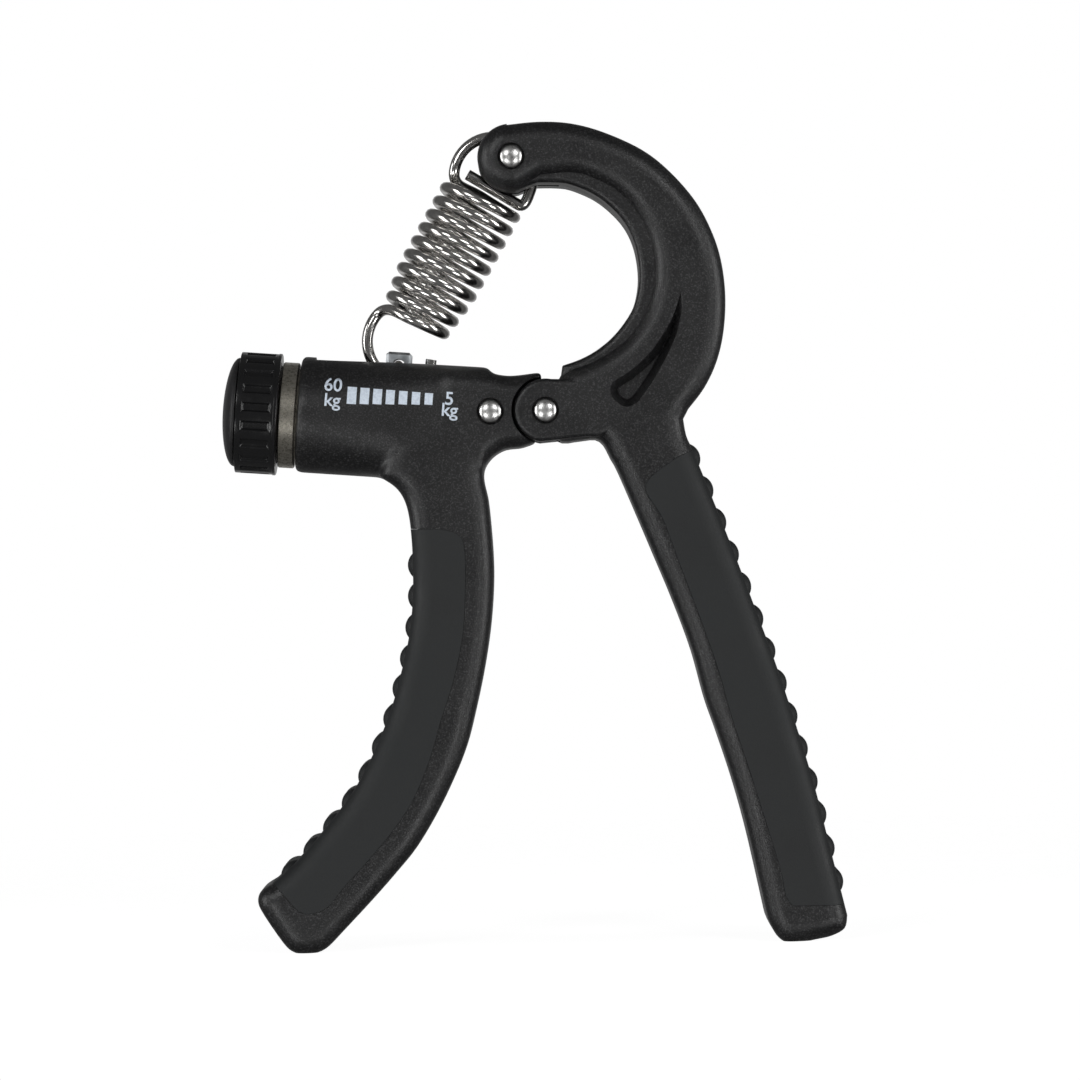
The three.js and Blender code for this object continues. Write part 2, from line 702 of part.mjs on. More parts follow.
function knobCapSolid() {
  const rimStation = knobFace - knobLength - clearance;
  const dome = (radius, rise) => Array.from({ length: capDomeCount + 1 }, (_, i) => {
    const angle = i / capDomeCount * Math.PI / 2;
    return [rimStation - rise * Math.sin(angle), i === capDomeCount ? 0 : radius * Math.cos(angle)];
  });
  const skirtInner = capSkirtRadius - capWall;
  const outer = dome(capRadius, capRise).reverse();
  const inner = dome(skirtInner, capRise - capWall);
  return turned([
    ...outer, [rimStation, capSkirtRadius], [rimStation + capSkirtLength, capSkirtRadius],
    [rimStation + capSkirtLength, skirtInner], ...inner,
  ], bigSides);
}

function leadScrewSolid() {
  const grooveRadius = journalRadius - clipGrooveDepth;
  const end = screwEnd - screwNoseLength;
  const threadStart = clipFace + clipThick + 2 * clearance;
  const body = turned([
    [webFace, 0], [webFace, journalRadius], [clipFace - clearance / 2, journalRadius],
    [clipFace - clearance / 2, grooveRadius], [clipFace + clipThick + clearance / 2, grooveRadius],
    [clipFace + clipThick + clearance / 2, journalRadius], [threadStart, journalRadius],
    [threadStart, screwRadius], [end, screwRadius], [screwEnd, screwRadius - screwNoseLength], [screwEnd, 0],
  ]);
  const tap = turned([
    [webFace - overrun, 0], [webFace - overrun, knobScrewRadius + clearance],
    [webFace + knobScrewLength + clearance, knobScrewRadius + clearance],
    [webFace + knobScrewLength + clearance, 0],
  ]);
  return body.subtract(tap);
}

function knobScrewSolid() {
  const seat = webFace - clearance;
  return turned([
    [seat - knobScrewHeadRise, 0], [seat - knobScrewHeadRise, knobScrewHeadRadius / 2],
    [seat - knobScrewHeadRise / 2, knobScrewHeadRadius], [seat, knobScrewHeadRadius],
    [seat, knobScrewRadius], [webFace + knobScrewLength, knobScrewRadius], [webFace + knobScrewLength, 0],
  ]);
}

function clipSolid() {
  const inner = journalRadius - clipGrooveDepth + clearance;
  const open = clipMouthDegrees / 2;
  const outline = joined(
    arc(0, 0, clipRadius, open, 360 - open, tipStep), arc(0, 0, inner, 360 - open, open, tipStep / 2),
  );
  const geometry = new THREE.ExtrudeGeometry(
    new THREE.Shape(outline), { depth: clipThick, bevelEnabled: false },
  );
  geometry.rotateY(Math.PI / 2);
  geometry.translate(clipFace, 0, 0);
  return solidOf(geometry);
}

// Carriage: the nut on the screw, with two cheeks that hold the anchor pin above the barrel
function carriageSolid() {
  const half = nutLugLength / 2;
  const top = barrelRadius + nutLugProud;
  const outline = [[-half, nutLugFoot], [half, nutLugFoot], [half, top], [-half, top]]
    .map(([u, w]) => new THREE.Vector2(u, w));
  const lug = solidOf(slab(outline, nutLugWidth, nutLugBevel));
  const gap = new THREE.BoxGeometry(2 * nutLength, 2 * eyeSlotHalf, top);
  gap.translate(0, 0, nutGapFloor + top / 2);
  const drum = turned([
    [-nutLength / 2, 0], [-nutLength / 2, linerBore - clearance], [nutLength / 2, linerBore - clearance],
    [nutLength / 2, 0],
  ]);
  const bore = turned([
    [-nutLength, 0], [-nutLength, screwRadius + clearance],
    [nutLength, screwRadius + clearance], [nutLength, 0],
  ]);
  return drum.add(lug).subtract(bore).subtract(solidOf(gap))
    .subtract(solidOf(peg(anchorPinRadius + clearance, -bodyWidth, bodyWidth, 0, anchorHeight)));
}

// Spring: one wire from the lower hook's tip, round the coil, to the upper hook's tip.
// Its frame has its zero at the anchor, p to the right, y across and s along the axis to the eye.
const anchor = barrelPoint(nutRestStation, anchorHeight);
const eye = new THREE.Vector3(eyeX, 0, eyeZ);
const springLength = anchor.distanceTo(eye);
const springAxis = eye.clone().sub(anchor).normalize();
const springSide = new THREE.Vector3(springAxis.z, 0, -springAxis.x);

function curveBetween(from, fromWay, to, toWay, count) {
  const pull = from.distanceTo(to) * hookPullShare;
  return Array.from({ length: count - 1 }, (_, i) => {
    const t = (i + 1) / count;
    const [a, b] = [2 * t ** 3 - 3 * t ** 2 + 1, t ** 3 - 2 * t ** 2 + t];
    const [c, d] = [3 * t ** 2 - 2 * t ** 3, t ** 3 - t ** 2];
    return new THREE.Vector3().addScaledVector(from, a).addScaledVector(fromWay, b * pull)
      .addScaledVector(to, c).addScaledVector(toWay, d * pull);
  });
}

function loopArc(shift, centre, radius, fromDegrees, toDegrees) {
  const count = Math.round(Math.abs(toDegrees - fromDegrees) / hookStepDegrees);
  return Array.from({ length: count + 1 }, (_, i) => {
    const angle = (fromDegrees + (toDegrees - fromDegrees) * i / count) * degrees;
    return new THREE.Vector3(shift + radius * Math.cos(angle), 0, centre + radius * Math.sin(angle));
  });
}

function springPath() {
  const rise = (radius, pinRadius, shift) => Math.sqrt(
    (radius - wireRadius - pinRadius - clearance) ** 2 - shift ** 2,
  );
  const lowerCentre = rise(lowerLoopRadius, anchorBushRadius, lowerLoopShift);
  const upperCentre = springLength - rise(upperLoopRadius, spoolRadius, upperLoopShift);
  const lowerLoop = loopArc(lowerLoopShift, lowerCentre, lowerLoopRadius, ...lowerLoopDegrees);
  const upperLoop = loopArc(upperLoopShift, upperCentre, upperLoopRadius, ...upperLoopDegrees);
  const top = springLength - coilHead;
  const stepCount = coilTurns * coilSteps;
  const coil = Array.from({ length: stepCount + 1 }, (_, i) => {
    const turn = i / coilSteps;
    const angle = (turn - coilFirstTurnShare) * 2 * Math.PI;
    const radius = THREE.MathUtils.lerp(coilEndRadius, coilRadius, Math.min(1, turn / coilTaperTurns));
    const height = coilFoot + (top - coilFoot) * turn / coilTurns;
    return new THREE.Vector3(coilShift + radius * Math.cos(angle), radius * Math.sin(angle), height);
  });
  const way = (x, z) => new THREE.Vector3(x, 0, z).normalize();
  const wayAt = (angle) => way(Math.sin(angle * degrees), -Math.cos(angle * degrees));
  const onHook = ([x, z], radius, shift, centre) => new THREE.Vector3(
    shift + x * radius, 0, centre + z * radius,
  );
  const lowerTip = onHook(lowerTipShares, lowerLoopRadius, lowerLoopShift, lowerCentre);
  const lowerTipWay = lowerLoop[0].clone().sub(lowerTip).normalize();
  const tip = onHook(hookTipShares, upperLoopRadius, upperLoopShift, upperCentre);
  const chord = onHook(hookChordShares, upperLoopRadius, upperLoopShift, upperCentre);
  const chordWay = tip.clone().sub(chord).normalize();
  const lead = (from, fromWay, to, toWay) => curveBetween(from, fromWay, to, toWay, hookLeadSteps);
  return [
    lowerTip,
    ...curveBetween(lowerTip, lowerTipWay, lowerLoop[0], wayAt(lowerLoopDegrees[0]), hookTipSteps),
    ...lowerLoop,
    ...lead(lowerLoop.at(-1), wayAt(lowerLoopDegrees[1]), coil[0], way(1, coilLeadSlope)),
    ...coil,
    ...lead(coil.at(-1), way(-1, coilLeadSlope), upperLoop[0], wayAt(upperLoopDegrees[0])),
    ...upperLoop,
    ...curveBetween(upperLoop.at(-1), wayAt(upperLoopDegrees[1]), chord, chordWay, hookTipSteps),
    chord,
    chord.clone().lerp(tip, 0.5),
    tip,
  ];
}

// Least clear space between stretches of the wire that aren't neighbours along it
function leastGap(path) {
  const sameBend = 2 * (coilRadius + wireRadius);
  const along = [0];
  for (let i = 1; i < path.length; i += 1) along.push(along[i - 1] + path[i].distanceTo(path[i - 1]));
  let least = Infinity;
  for (let i = 0; i < path.length; i += 1) {
    for (let j = i + 1; j < path.length - 1; j += 1) {
      if (along[j] - along[i] < sameBend) continue;
      const line = new THREE.Line3(path[j], path[j + 1]);
      const near = line.closestPointToPoint(path[i], true, new THREE.Vector3());
      least = Math.min(least, near.distanceTo(path[i]) - 2 * wireRadius);
    }
  }
  return least;
}

function springSolid() {
  const path = springPath();
  console.log('least gap of the spring wire to itself, mm:', leastGap(path).toFixed(2));
  const toHand = new THREE.Matrix4().makeBasis(springSide, new THREE.Vector3(0, 1, 0), springAxis);
  toHand.setPosition(anchor);
  const centres = path.map((point) => point.clone().applyMatrix4(toHand));
  const ways = centres.map((point, i) => {
    const [before, after] = [centres[Math.max(0, i - 1)], centres[Math.min(centres.length - 1, i + 1)]];
    return after.clone().sub(before).normalize();
  });
  let across = new THREE.Vector3(0, 1, 0);
  const rings = centres.map((centre, i) => {
    if (i > 0) across.applyQuaternion(new THREE.Quaternion().setFromUnitVectors(ways[i - 1], ways[i]));
    across.addScaledVector(ways[i], -across.dot(ways[i])).normalize();
    const third = ways[i].clone().cross(across);
    return Array.from({ length: wireSides }, (_, j) => {
      const angle = j / wireSides * 2 * Math.PI;
      return centre.clone().addScaledVector(across, wireRadius * Math.cos(angle))
        .addScaledVector(third, wireRadius * Math.sin(angle));
    });
  });
  return solidOf(ringBody(rings));
}

// Finishes, as seen in the photograph
const finish = (color, roughness, metalness) => (
  new THREE.MeshStandardMaterial({ color, roughness, metalness })
);
const blackPlastic = () => finish(0x1b1b1c, 0.6, 0);
const glossPlastic = () => finish(0x121213, 0.25, 0);
const greyRubber = () => finish(0x35383a, 0.8, 0);
const brightSteel = () => finish(0xc8c8c6, 0.2, 1);
const plainSteel = () => finish(0x9b9b98, 0.4, 1);
const zincCast = () => finish(0xa9adb0, 0.45, 1);
const whiteNylon = () => finish(0xd9d8d2, 0.6, 0);

const fixed = fixedSolids();
const lever = leverSolids();
const washerAt = halfWidth - earWidth - clearance;

const hand = new THREE.Group();
hand.add(
  meshOf('fixed_handle_body', fixed.body, blackPlastic()),
  meshOf('fixed_handle_grip', fixed.grip, greyRubber()),
  meshOf('liner_end_plug', plugSolid(), zincCast()),
  meshOf('liner_rivet', rivet(rivetShankRadius, linerRivetX, linerRivetZ), brightSteel()),
  meshOf('hinge_bush', ring(
    hingeBushRadius, hingeShankRadius + clearance, -tongueWidth / 2, tongueWidth / 2,
  ), plainSteel()),
  meshOf('hinge_washer_front', ring(
    hingeWasherRadius, hingeShankRadius + clearance, -washerAt, -washerAt + hingeWasherThick,
  ), plainSteel()),
  meshOf('hinge_washer_rear', ring(
    hingeWasherRadius, hingeShankRadius + clearance, washerAt - hingeWasherThick, washerAt,
  ), plainSteel()),
  meshOf('hinge_rivet', rivet(hingeShankRadius, 0, 0), brightSteel()),
  meshOf('lever_body', lever.body, blackPlastic()),
  meshOf('lever_grip', lever.grip, greyRubber()),
  meshOf('spring_rivet', rivet(eyeShankRadius, eyeX, eyeZ), brightSteel()),
  meshOf('spring_spool', ring(
    spoolRadius, eyeShankRadius + clearance, -eyeSlotHalf + clearance, eyeSlotHalf - clearance, eyeX, eyeZ,
  ), plainSteel()),
  meshOf('main_spring', springSolid(), brightSteel()),
);

const barrel = new THREE.Group();
barrel.position.set(mouthX, 0, mouthZ);
barrel.rotation.y = barrelTilt;
barrel.add(
  meshOf('barrel_liner', linerSolid(), brightSteel()),
  meshOf('end_bush', turnedRing(
    linerBore - clearance, journalRadius + clearance, collarFace, bushEnd,
  ), whiteNylon()),
  meshOf('thrust_washer', turnedRing(
    thrustWasherRadius, journalRadius + clearance, washerFace, washerFace + thrustWasherThick,
  ), plainSteel()),
  meshOf('knob_ring', knobRingSolid(), glossPlastic()),
  meshOf('knob_cap', knobCapSolid(), blackPlastic()),
  meshOf('lead_screw', leadScrewSolid(), plainSteel()),
  meshOf('knob_screw', knobScrewSolid(), plainSteel()),
  meshOf('screw_clip', clipSolid(), plainSteel()),
);
hand.add(barrel);

const carriage = new THREE.Group();
carriage.position.set(nutRestStation, 0, 0);
const anchorLength = nutLugWidth - 2 * clearance;
carriage.add(
  meshOf('carriage_nut', carriageSolid(), zincCast()),
  meshOf('anchor_pin', solidOf(peg(
    anchorPinRadius, -anchorLength / 2, anchorLength / 2, 0, anchorHeight,
  )), plainSteel()),
  meshOf('anchor_bush', ring(
    anchorBushRadius, anchorPinRadius + clearance, -eyeSlotHalf + clearance, eyeSlotHalf - clearance,
    0, anchorHeight,
  ), plainSteel()),
);
barrel.add(carriage);

const grip = new THREE.Group();
grip.add(hand);
hand.rotation.y = standTurn;
const box = new THREE.Box3().setFromObject(grip, true);
const middle = box.getCenter(new THREE.Vector3());
hand.position.set(-middle.x, -middle.y, -box.min.z);

export default grip;
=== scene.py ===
# Adjustable spring hand grip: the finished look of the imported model, in metres and in its frame.
# Handles, knob and print are drawn flat in the hand's own frame, with its zero on the hinge, or in
# the barrel's frame, with its zero in the barrel's mouth, and are then put in their place.

import json
import math

import bmesh
import bpy
import numpy as np
from mathutils import Matrix, Vector


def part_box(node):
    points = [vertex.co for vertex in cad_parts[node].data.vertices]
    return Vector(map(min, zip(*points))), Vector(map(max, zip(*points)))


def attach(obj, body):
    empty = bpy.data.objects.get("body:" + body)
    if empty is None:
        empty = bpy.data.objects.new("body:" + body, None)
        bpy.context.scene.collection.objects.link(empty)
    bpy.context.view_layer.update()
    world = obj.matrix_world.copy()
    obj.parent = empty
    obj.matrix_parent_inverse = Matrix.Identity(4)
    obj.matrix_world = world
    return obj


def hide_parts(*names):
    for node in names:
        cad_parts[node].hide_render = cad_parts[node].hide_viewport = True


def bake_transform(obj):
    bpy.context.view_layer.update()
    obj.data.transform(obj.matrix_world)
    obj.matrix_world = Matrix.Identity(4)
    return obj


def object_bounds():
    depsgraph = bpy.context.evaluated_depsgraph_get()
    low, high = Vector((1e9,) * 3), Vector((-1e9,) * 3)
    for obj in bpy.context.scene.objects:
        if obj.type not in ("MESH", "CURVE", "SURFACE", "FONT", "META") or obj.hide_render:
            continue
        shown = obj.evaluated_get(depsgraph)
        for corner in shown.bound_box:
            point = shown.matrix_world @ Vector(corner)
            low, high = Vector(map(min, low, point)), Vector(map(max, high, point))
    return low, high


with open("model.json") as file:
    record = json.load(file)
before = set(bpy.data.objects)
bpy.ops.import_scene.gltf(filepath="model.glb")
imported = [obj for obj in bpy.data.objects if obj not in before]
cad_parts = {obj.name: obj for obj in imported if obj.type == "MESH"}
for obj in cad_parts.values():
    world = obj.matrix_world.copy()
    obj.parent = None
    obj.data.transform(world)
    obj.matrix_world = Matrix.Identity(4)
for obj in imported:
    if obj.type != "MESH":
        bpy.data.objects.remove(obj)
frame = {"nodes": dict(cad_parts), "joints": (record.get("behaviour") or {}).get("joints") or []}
cad_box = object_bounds()

MM = 0.001

# Places that the frame gives
joints = {joint["name"]: joint for joint in frame["joints"]}
hinge_place = Vector(joints["handle_squeeze"]["pos_m"])
mouth_place = Vector(joints["knob_turn"]["pos_m"])
barrel_way = Vector(joints["knob_turn"]["axis"])
anchor_place = Vector(joints["anchor_bush_turn"]["pos_m"])
eye_place = sum((Vector(corner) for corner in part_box("spring_rivet")), Vector()) / 2
nut_low, nut_high = (Vector(corner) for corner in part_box("carriage_nut"))

barrel_tilt = math.radians(3.6)
barrel_turn = math.atan2(-barrel_way.z, barrel_way.x)
stand_turn = barrel_turn - barrel_tilt
HAND = Matrix.Translation(hinge_place) @ Matrix.Rotation(stand_turn, 4, "Y")
BARREL = Matrix.Translation(mouth_place) @ Matrix.Rotation(barrel_turn, 4, "Y")
eye_in_hand = HAND.inverted() @ eye_place

# Sizes
body_width = 22.4 * MM
half_width = body_width / 2
edge_round = 3.6 * MM
ledge_drop = 2.0 * MM
ledge_edge = 1.2 * MM
past = 6 * MM
line_gap = 0.06 * MM
fit_gap = 0.3 * MM
panel_depth = 1.3 * MM

arm_rise = 55.1 * MM
arm_reach = 34.1 * MM
leg_drop = 101.6 * MM
leg_reach = 58.4 * MM
hold_drop = 103.8 * MM
hold_reach = 55.1 * MM
foot_flat = 0.4 * MM

stud_radius = 3.1 * MM
stud_height = 1.0 * MM
stud_length = 16.5 * MM
leg_stud_count = 14
hold_stud_count = 12

ear_radius = 6.05 * MM
ear_gap = 0.45 * MM
ear_edge = 1.0 * MM
ear_root = (9.0 * MM, 0.4 * MM, 5.5 * MM)
fork_radius = 6.5 * MM
fork_half = 5.9 * MM
tongue_radius = 5.9 * MM
tongue_half = 4.5 * MM
bush_hole = 4.8 * MM

rivet_head_radius = 2.3 * MM
rivet_head_rise = 1.3 * MM
rivet_seat = half_width - 0.7 * MM
rivet_ring = 2.62 * MM
rivet_ring_depth = 1.0 * MM
hinge_shank = 1.75 * MM
liner_shank = 1.5 * MM
eye_shank = 0.9 * MM
liner_rivet_spot = (-10.5 * MM, -0.2 * MM)

eye_radius = 6.45 * MM
eye_arc = (98, 283)
eye_slot_radius = 10.4 * MM
eye_slot_half = 1.51 * MM
# The pocket's sloped wall: how far in at each depth
pocket_wall = ((1.5 * MM, 2.9 * MM), (1.1 * MM, 2.5 * MM), (0.0, 0.0), (-0.5 * MM, -1.2 * MM))

barrel_radius = 11.15 * MM
barrel_length = 36 * MM
barrel_shift = (-0.3 * MM, 0, 0.3 * MM)
mouth_round = 0.7 * MM
liner_radius = 8.6 * MM
liner_bore = 7.4 * MM
liner_length = 34 * MM
collar_radius = 10.15 * MM
collar_end = -0.6 * MM
collar_length = 3.1 * MM
slot_start = 2.4 * MM
slot_end = 31.0 * MM
shell_slot_end = 32.4 * MM
slot_width = 7.1 * MM

knob_face = -4.05 * MM
knob_radius = 11.6 * MM
knob_length = 7.8 * MM
knob_flange_radius = 11.7 * MM
knob_flange_length = 0.7 * MM
knob_flutes = 20
knob_flute_depth = 0.55 * MM
knob_recess_radius = 9.6 * MM
knob_web = 4.4 * MM
journal_hole = 3.3 * MM
cap_radius = 10.45 * MM
cap_rise = 2.7 * MM
cap_skirt_radius = 9.3 * MM

journal_radius = 3.0 * MM
screw_radius = 3.9 * MM
screw_pitch = 2.5 * MM
screw_start = 4.4 * MM
screw_end = 29.6 * MM

wire_radius = 1.06 * MM
coil_radius = 7.25 * MM
coil_end_radius = 6.0 * MM
coil_shift = -1.35 * MM
coil_turns = 9.5
coil_taper_turns = 3
coil_foot = 8.8 * MM
coil_head = 8.6 * MM
coil_first_turn = 0.25
coil_lead_slope = 0.1
lower_loop_radius = 7.9 * MM
lower_loop_shift = -0.6 * MM
lower_loop_arc = (-35, -186)
lower_tip_shares = (0.70, -0.12)
upper_loop_radius = 7.6 * MM
upper_loop_shift = -1.5 * MM
upper_loop_arc = (195, 8)
hook_pull = 1.17
hook_chord_shares = (0.90, -0.32)
hook_tip_shares = (-0.60, -0.27)
anchor_bush_radius = 1.6 * MM
spool_radius = 1.6 * MM

nut_length = 8 * MM
nut_station = 18.3 * MM
nut_lug_length = 4.9 * MM
nut_lug_width = 6.2 * MM
nut_lug_top = 13.35 * MM
nut_lug_foot = 4.2 * MM
nut_gap_half = 1.51 * MM
nut_gap_floor = 5.0 * MM
nut_bevel = 0.5 * MM
anchor_height = 10.9 * MM
pin_hole = 1.15 * MM

# Fineness
outline_step = 1.1 * MM
tip_step = 0.7 * MM
edge_steps = 8
flat_rim = 0.35 * MM
round_sides = 64
coil_steps = 40
wire_sides = 14
body_voxel = 0.5 * MM

# Outlines as shares of the reach and of the rise or drop
ARM_OUTER = [
    (-0.215, 0.989), (-0.032, 1.000), (0.150, 0.993), (0.332, 0.962), (0.542, 0.902), (0.699, 0.825),
    (0.842, 0.722), (0.936, 0.611), (0.987, 0.505), (1.007, 0.383), (0.993, 0.260), (0.952, 0.160),
    (0.886, 0.076), (0.799, 0.005),
]
ARM_INNER = [
    (-0.045, 0.787), (0.060, 0.787), (0.145, 0.779), (0.278, 0.743), (0.385, 0.690), (0.456, 0.635),
    (0.501, 0.569), (0.522, 0.492), (0.519, 0.426), (0.492, 0.360), (0.439, 0.303), (0.367, 0.250),
    (0.278, 0.206), (0.190, 0.177), (0.098, 0.157),
]
ARM_CREASE = [
    (-0.024, 0.808), (0.187, 0.813), (0.398, 0.753), (0.521, 0.666), (0.583, 0.579), (0.604, 0.492),
    (0.592, 0.416), (0.548, 0.339), (0.468, 0.263), (0.364, 0.209), (0.257, 0.172), (0.130, 0.143),
]
NOTCH = [(0.092, 0.152), (0.085, 0.120), (0.044, 0.073)]
LEG_OUTER = [
    (0.450, -0.016), (0.460, -0.047), (0.480, -0.073), (0.531, -0.144), (0.609, -0.256),
    (0.685, -0.371), (0.754, -0.478), (0.819, -0.591), (0.879, -0.705), (0.931, -0.823),
    (0.986, -0.947),
]
LEG_TIP = [
    (0.986, -0.947), (0.978, -0.971), (0.938, -0.985), (0.888, -0.992), (0.805, -1.000),
    (0.762, -0.989), (0.734, -0.964), (0.724, -0.948),
]
LEG_INNER = [
    (0.724, -0.948), (0.665, -0.799), (0.616, -0.697), (0.562, -0.604), (0.524, -0.542), (0.479, -0.449),
    (0.418, -0.355), (0.358, -0.273), (0.298, -0.192), (0.238, -0.113), (0.215, -0.089), (0.191, -0.063),
    (0.165, -0.053), (0.129, -0.0545), (0.096, -0.057), (0.055, -0.059), (0.010, -0.045),
]
POCKET_OUTER = [
    (0.757, 0.411), (0.764, 0.367), (0.738, 0.278), (0.685, 0.197), (0.607, 0.108), (0.516, 0.028),
]
POCKET_INNER = [
    (0.516, 0.028), (0.449, 0.011), (0.371, 0.045), (0.371, 0.092), (0.464, 0.132), (0.568, 0.189),
    (0.646, 0.254), (0.711, 0.326), (0.757, 0.411),
]
LEG_PANEL = [
    (0.425, -0.090), (0.327, -0.140), (0.383, -0.204), (0.441, -0.293), (0.503, -0.387), (0.562, -0.484),
    (0.610, -0.580), (0.675, -0.692), (0.762, -0.853), (0.783, -0.909), (0.806, -0.927),
]
LEG_PANEL_OUTSIDE = [(1.150, -0.924), (0.700, -0.060), (0.500, -0.068)]
HOLD_TOP = [
    (-0.360, 0.0785), (-0.226, 0.074), (-0.170, 0.067), (-0.132, 0.064), (-0.094, 0.065), (-0.012, 0.071),
]
HOLD_INNER = [
    (-0.032, -0.058), (-0.088, -0.068), (-0.136, -0.070), (-0.184, -0.085), (-0.213, -0.108),
    (-0.213, -0.130), (-0.199, -0.161), (-0.189, -0.208), (-0.181, -0.262), (-0.179, -0.320),
    (-0.189, -0.397), (-0.211, -0.476), (-0.241, -0.553), (-0.272, -0.618), (-0.318, -0.679),
    (-0.377, -0.743), (-0.445, -0.803), (-0.512, -0.847), (-0.596, -0.898), (-0.708, -0.962),
]
HOLD_TIP = [
    (-0.708, -0.962), (-0.762, -0.990), (-0.823, -1.000), (-0.873, -0.995), (-0.908, -0.978),
    (-0.979, -0.923), (-0.997, -0.899), (-0.980, -0.880), (-0.939, -0.866),
]
HOLD_OUTER = [
    (-0.939, -0.866), (-0.853, -0.824), (-0.781, -0.780), (-0.715, -0.736), (-0.657, -0.692),
    (-0.608, -0.644), (-0.567, -0.595), (-0.529, -0.540), (-0.501, -0.485), (-0.477, -0.430),
    (-0.463, -0.375), (-0.458, -0.320), (-0.463, -0.238), (-0.480, -0.177), (-0.515, -0.143),
    (-0.575, -0.122),
]
HOLD_ROOT = [(-0.540, -0.060), (-0.400, 0.020)]
HOLD_PANEL = [
    (-0.363, -0.218), (-0.300, -0.228), (-0.278, -0.262), (-0.279, -0.364), (-0.289, -0.424),
    (-0.320, -0.500), (-0.360, -0.567), (-0.401, -0.642), (-0.457, -0.714), (-0.529, -0.772),
    (-0.622, -0.831), (-0.691, -0.871), (-0.751, -0.910), (-0.808, -0.922), (-0.850, -0.918),
    (-0.899, -0.890),
]
HOLD_PANEL_OUTSIDE = [(-0.975, -0.850), (-1.060, -0.800), (-0.640, -0.218)]
LEG_STUD_SPAN = (0.072, 0.930)
HOLD_STUD_SPAN = (0.045, 0.780)


# Outline tools: points are (x, z) in the hand's frame

def scaled(shares, reach, rise):
    return [Vector((x * reach, z * rise)) for x, z in shares]


def through(points, step):
    """A smooth line through the points, with about one point a step."""
    line = []
    for i in range(len(points) - 1):
        a, b = points[max(i - 1, 0)], points[i]
        c, d = points[i + 1], points[min(i + 2, len(points) - 1)]
        count = max(2, round((c - b).length / step))
        for j in range(count):
            t = j / count
            line.append(b + (c - a) * t / 2 + (2 * a - 5 * b + 4 * c - d) * t ** 2 / 2
                        + (3 * b - a - 3 * c + d) * t ** 3 / 2)
    return line + [points[-1]]


def arc(x, z, radius, first, last, step):
    count = max(3, round(math.radians(abs(last - first)) * radius / step))
    angles = [math.radians(first + (last - first) * i / count) for i in range(count + 1)]
    return [Vector((x + radius * math.cos(a), z + radius * math.sin(a))) for a in angles]


def joined(*runs):
    points = []
    for point in (point for run in runs for point in run):
        if not points or (point - points[-1]).length > 0.05 * MM:
            points.append(point)
    if (points[0] - points[-1]).length < 0.05 * MM:
        points.pop()
    return points


# Longest loop, in points, that untangled() looks for
loop_points = 9


def untangled(points):
    """Draws each small loop of a closed line together into the point where the line crosses itself."""
    count = len(points)
    for i in range(count):
        for j in range(i + 2, i + loop_points):
            a, b = points[i], points[(i + 1) % count]
            c, d = points[j % count], points[(j + 1) % count]
            along, across, apart = b - a, d - c, c - a
            turn = along[0] * across[1] - along[1] * across[0]
            if not turn:
                continue
            share = (apart[0] * across[1] - apart[1] * across[0]) / turn
            other = (apart[0] * along[1] - apart[1] * along[0]) / turn
            if 0 < share < 1 and 0 < other < 1:
                for k in range(i + 1, j + 1):
                    points[k % count] = a + along * share
    return points


def moved_in(outline, distance):
    """The clockwise outline moved inwards; points that tight corners would cross are drawn together."""
    if not distance:
        return [tuple(point) for point in outline]
    points = np.array([tuple(point) for point in outline])
    ahead = np.roll(points, -1, axis=0) - points
    ahead /= np.linalg.norm(ahead, axis=1)[:, None]
    inward = np.stack([ahead[:, 1], -ahead[:, 0]], axis=1)
    before = np.roll(inward, 1, axis=0)
    mitre = (before + inward) / (1 + (before * inward).sum(axis=1))[:, None]
    places = points + mitre * distance
    ends = np.roll(points, -1, axis=0)
    spans = ends - points
    offsets = places[:, None, :] - points[None, :, :]
    along = (offsets * spans).sum(axis=2) / (spans * spans).sum(axis=1)
    nearest = points + np.clip(along, 0, 1)[:, :, None] * spans
    space = np.linalg.norm(places[:, None, :] - nearest, axis=2).min(axis=1)
    kept = space > abs(distance) * 0.99
    count = len(points)
    moved = places.copy()
    for i in np.flatnonzero(~kept):
        back = next(k for k in range(count) if kept[(i - k) % count])
        forth = next(k for k in range(count) if kept[(i + k) % count])
        moved[i] = (places[(i - back) % count] + places[(i + forth) % count]) / 2
    return [tuple(point) for point in untangled(moved)]


# Mesh tools

def only(piece):
    bpy.ops.object.select_all(action="DESELECT")
    piece.select_set(True)
    bpy.context.view_layer.objects.active = piece


def ring_body(name, rings, caps=True):
    """A closed body through rings of points that have the same number of points."""
    mesh = bmesh.new()
    loops = [[mesh.verts.new(point) for point in ring] for ring in rings]
    for lower, upper in zip(loops, loops[1:]):
        for j in range(len(lower)):
            k = (j + 1) % len(lower)
            mesh.faces.new((lower[j], lower[k], upper[k], upper[j]))
    if caps:
        mesh.faces.new(loops[0][::-1])
        mesh.faces.new(loops[-1])
    bmesh.ops.remove_doubles(mesh, verts=mesh.verts, dist=0.004 * MM)
    bmesh.ops.recalc_face_normals(mesh, faces=mesh.faces)
    data = bpy.data.meshes.new(name)
    mesh.to_mesh(data)
    mesh.free()
    piece = bpy.data.objects.new(name, data)
    bpy.context.scene.collection.objects.link(piece)
    return piece


def slab(name, outline, width, edge=0.0, inset=0.0):
    """A plate of an outline across the hand, with rounded edges and its skin moved in."""
    layers = [(inset, width / 2)]
    if edge:
        quarter = [i / edge_steps * math.pi / 2 for i in range(edge_steps + 1)]
        layers = [(inset + edge + flat_rim, width / 2 - inset)]
        layers += [(inset + edge * (1 - math.sin(a)), width / 2 - inset - edge * (1 - math.cos(a)))
                   for a in quarter]
    layers += [(deep, -y) for deep, y in reversed(layers)]
    return ring_body(name, [[(x, y, z) for x, z in moved_in(outline, deep)] for deep, y in layers])


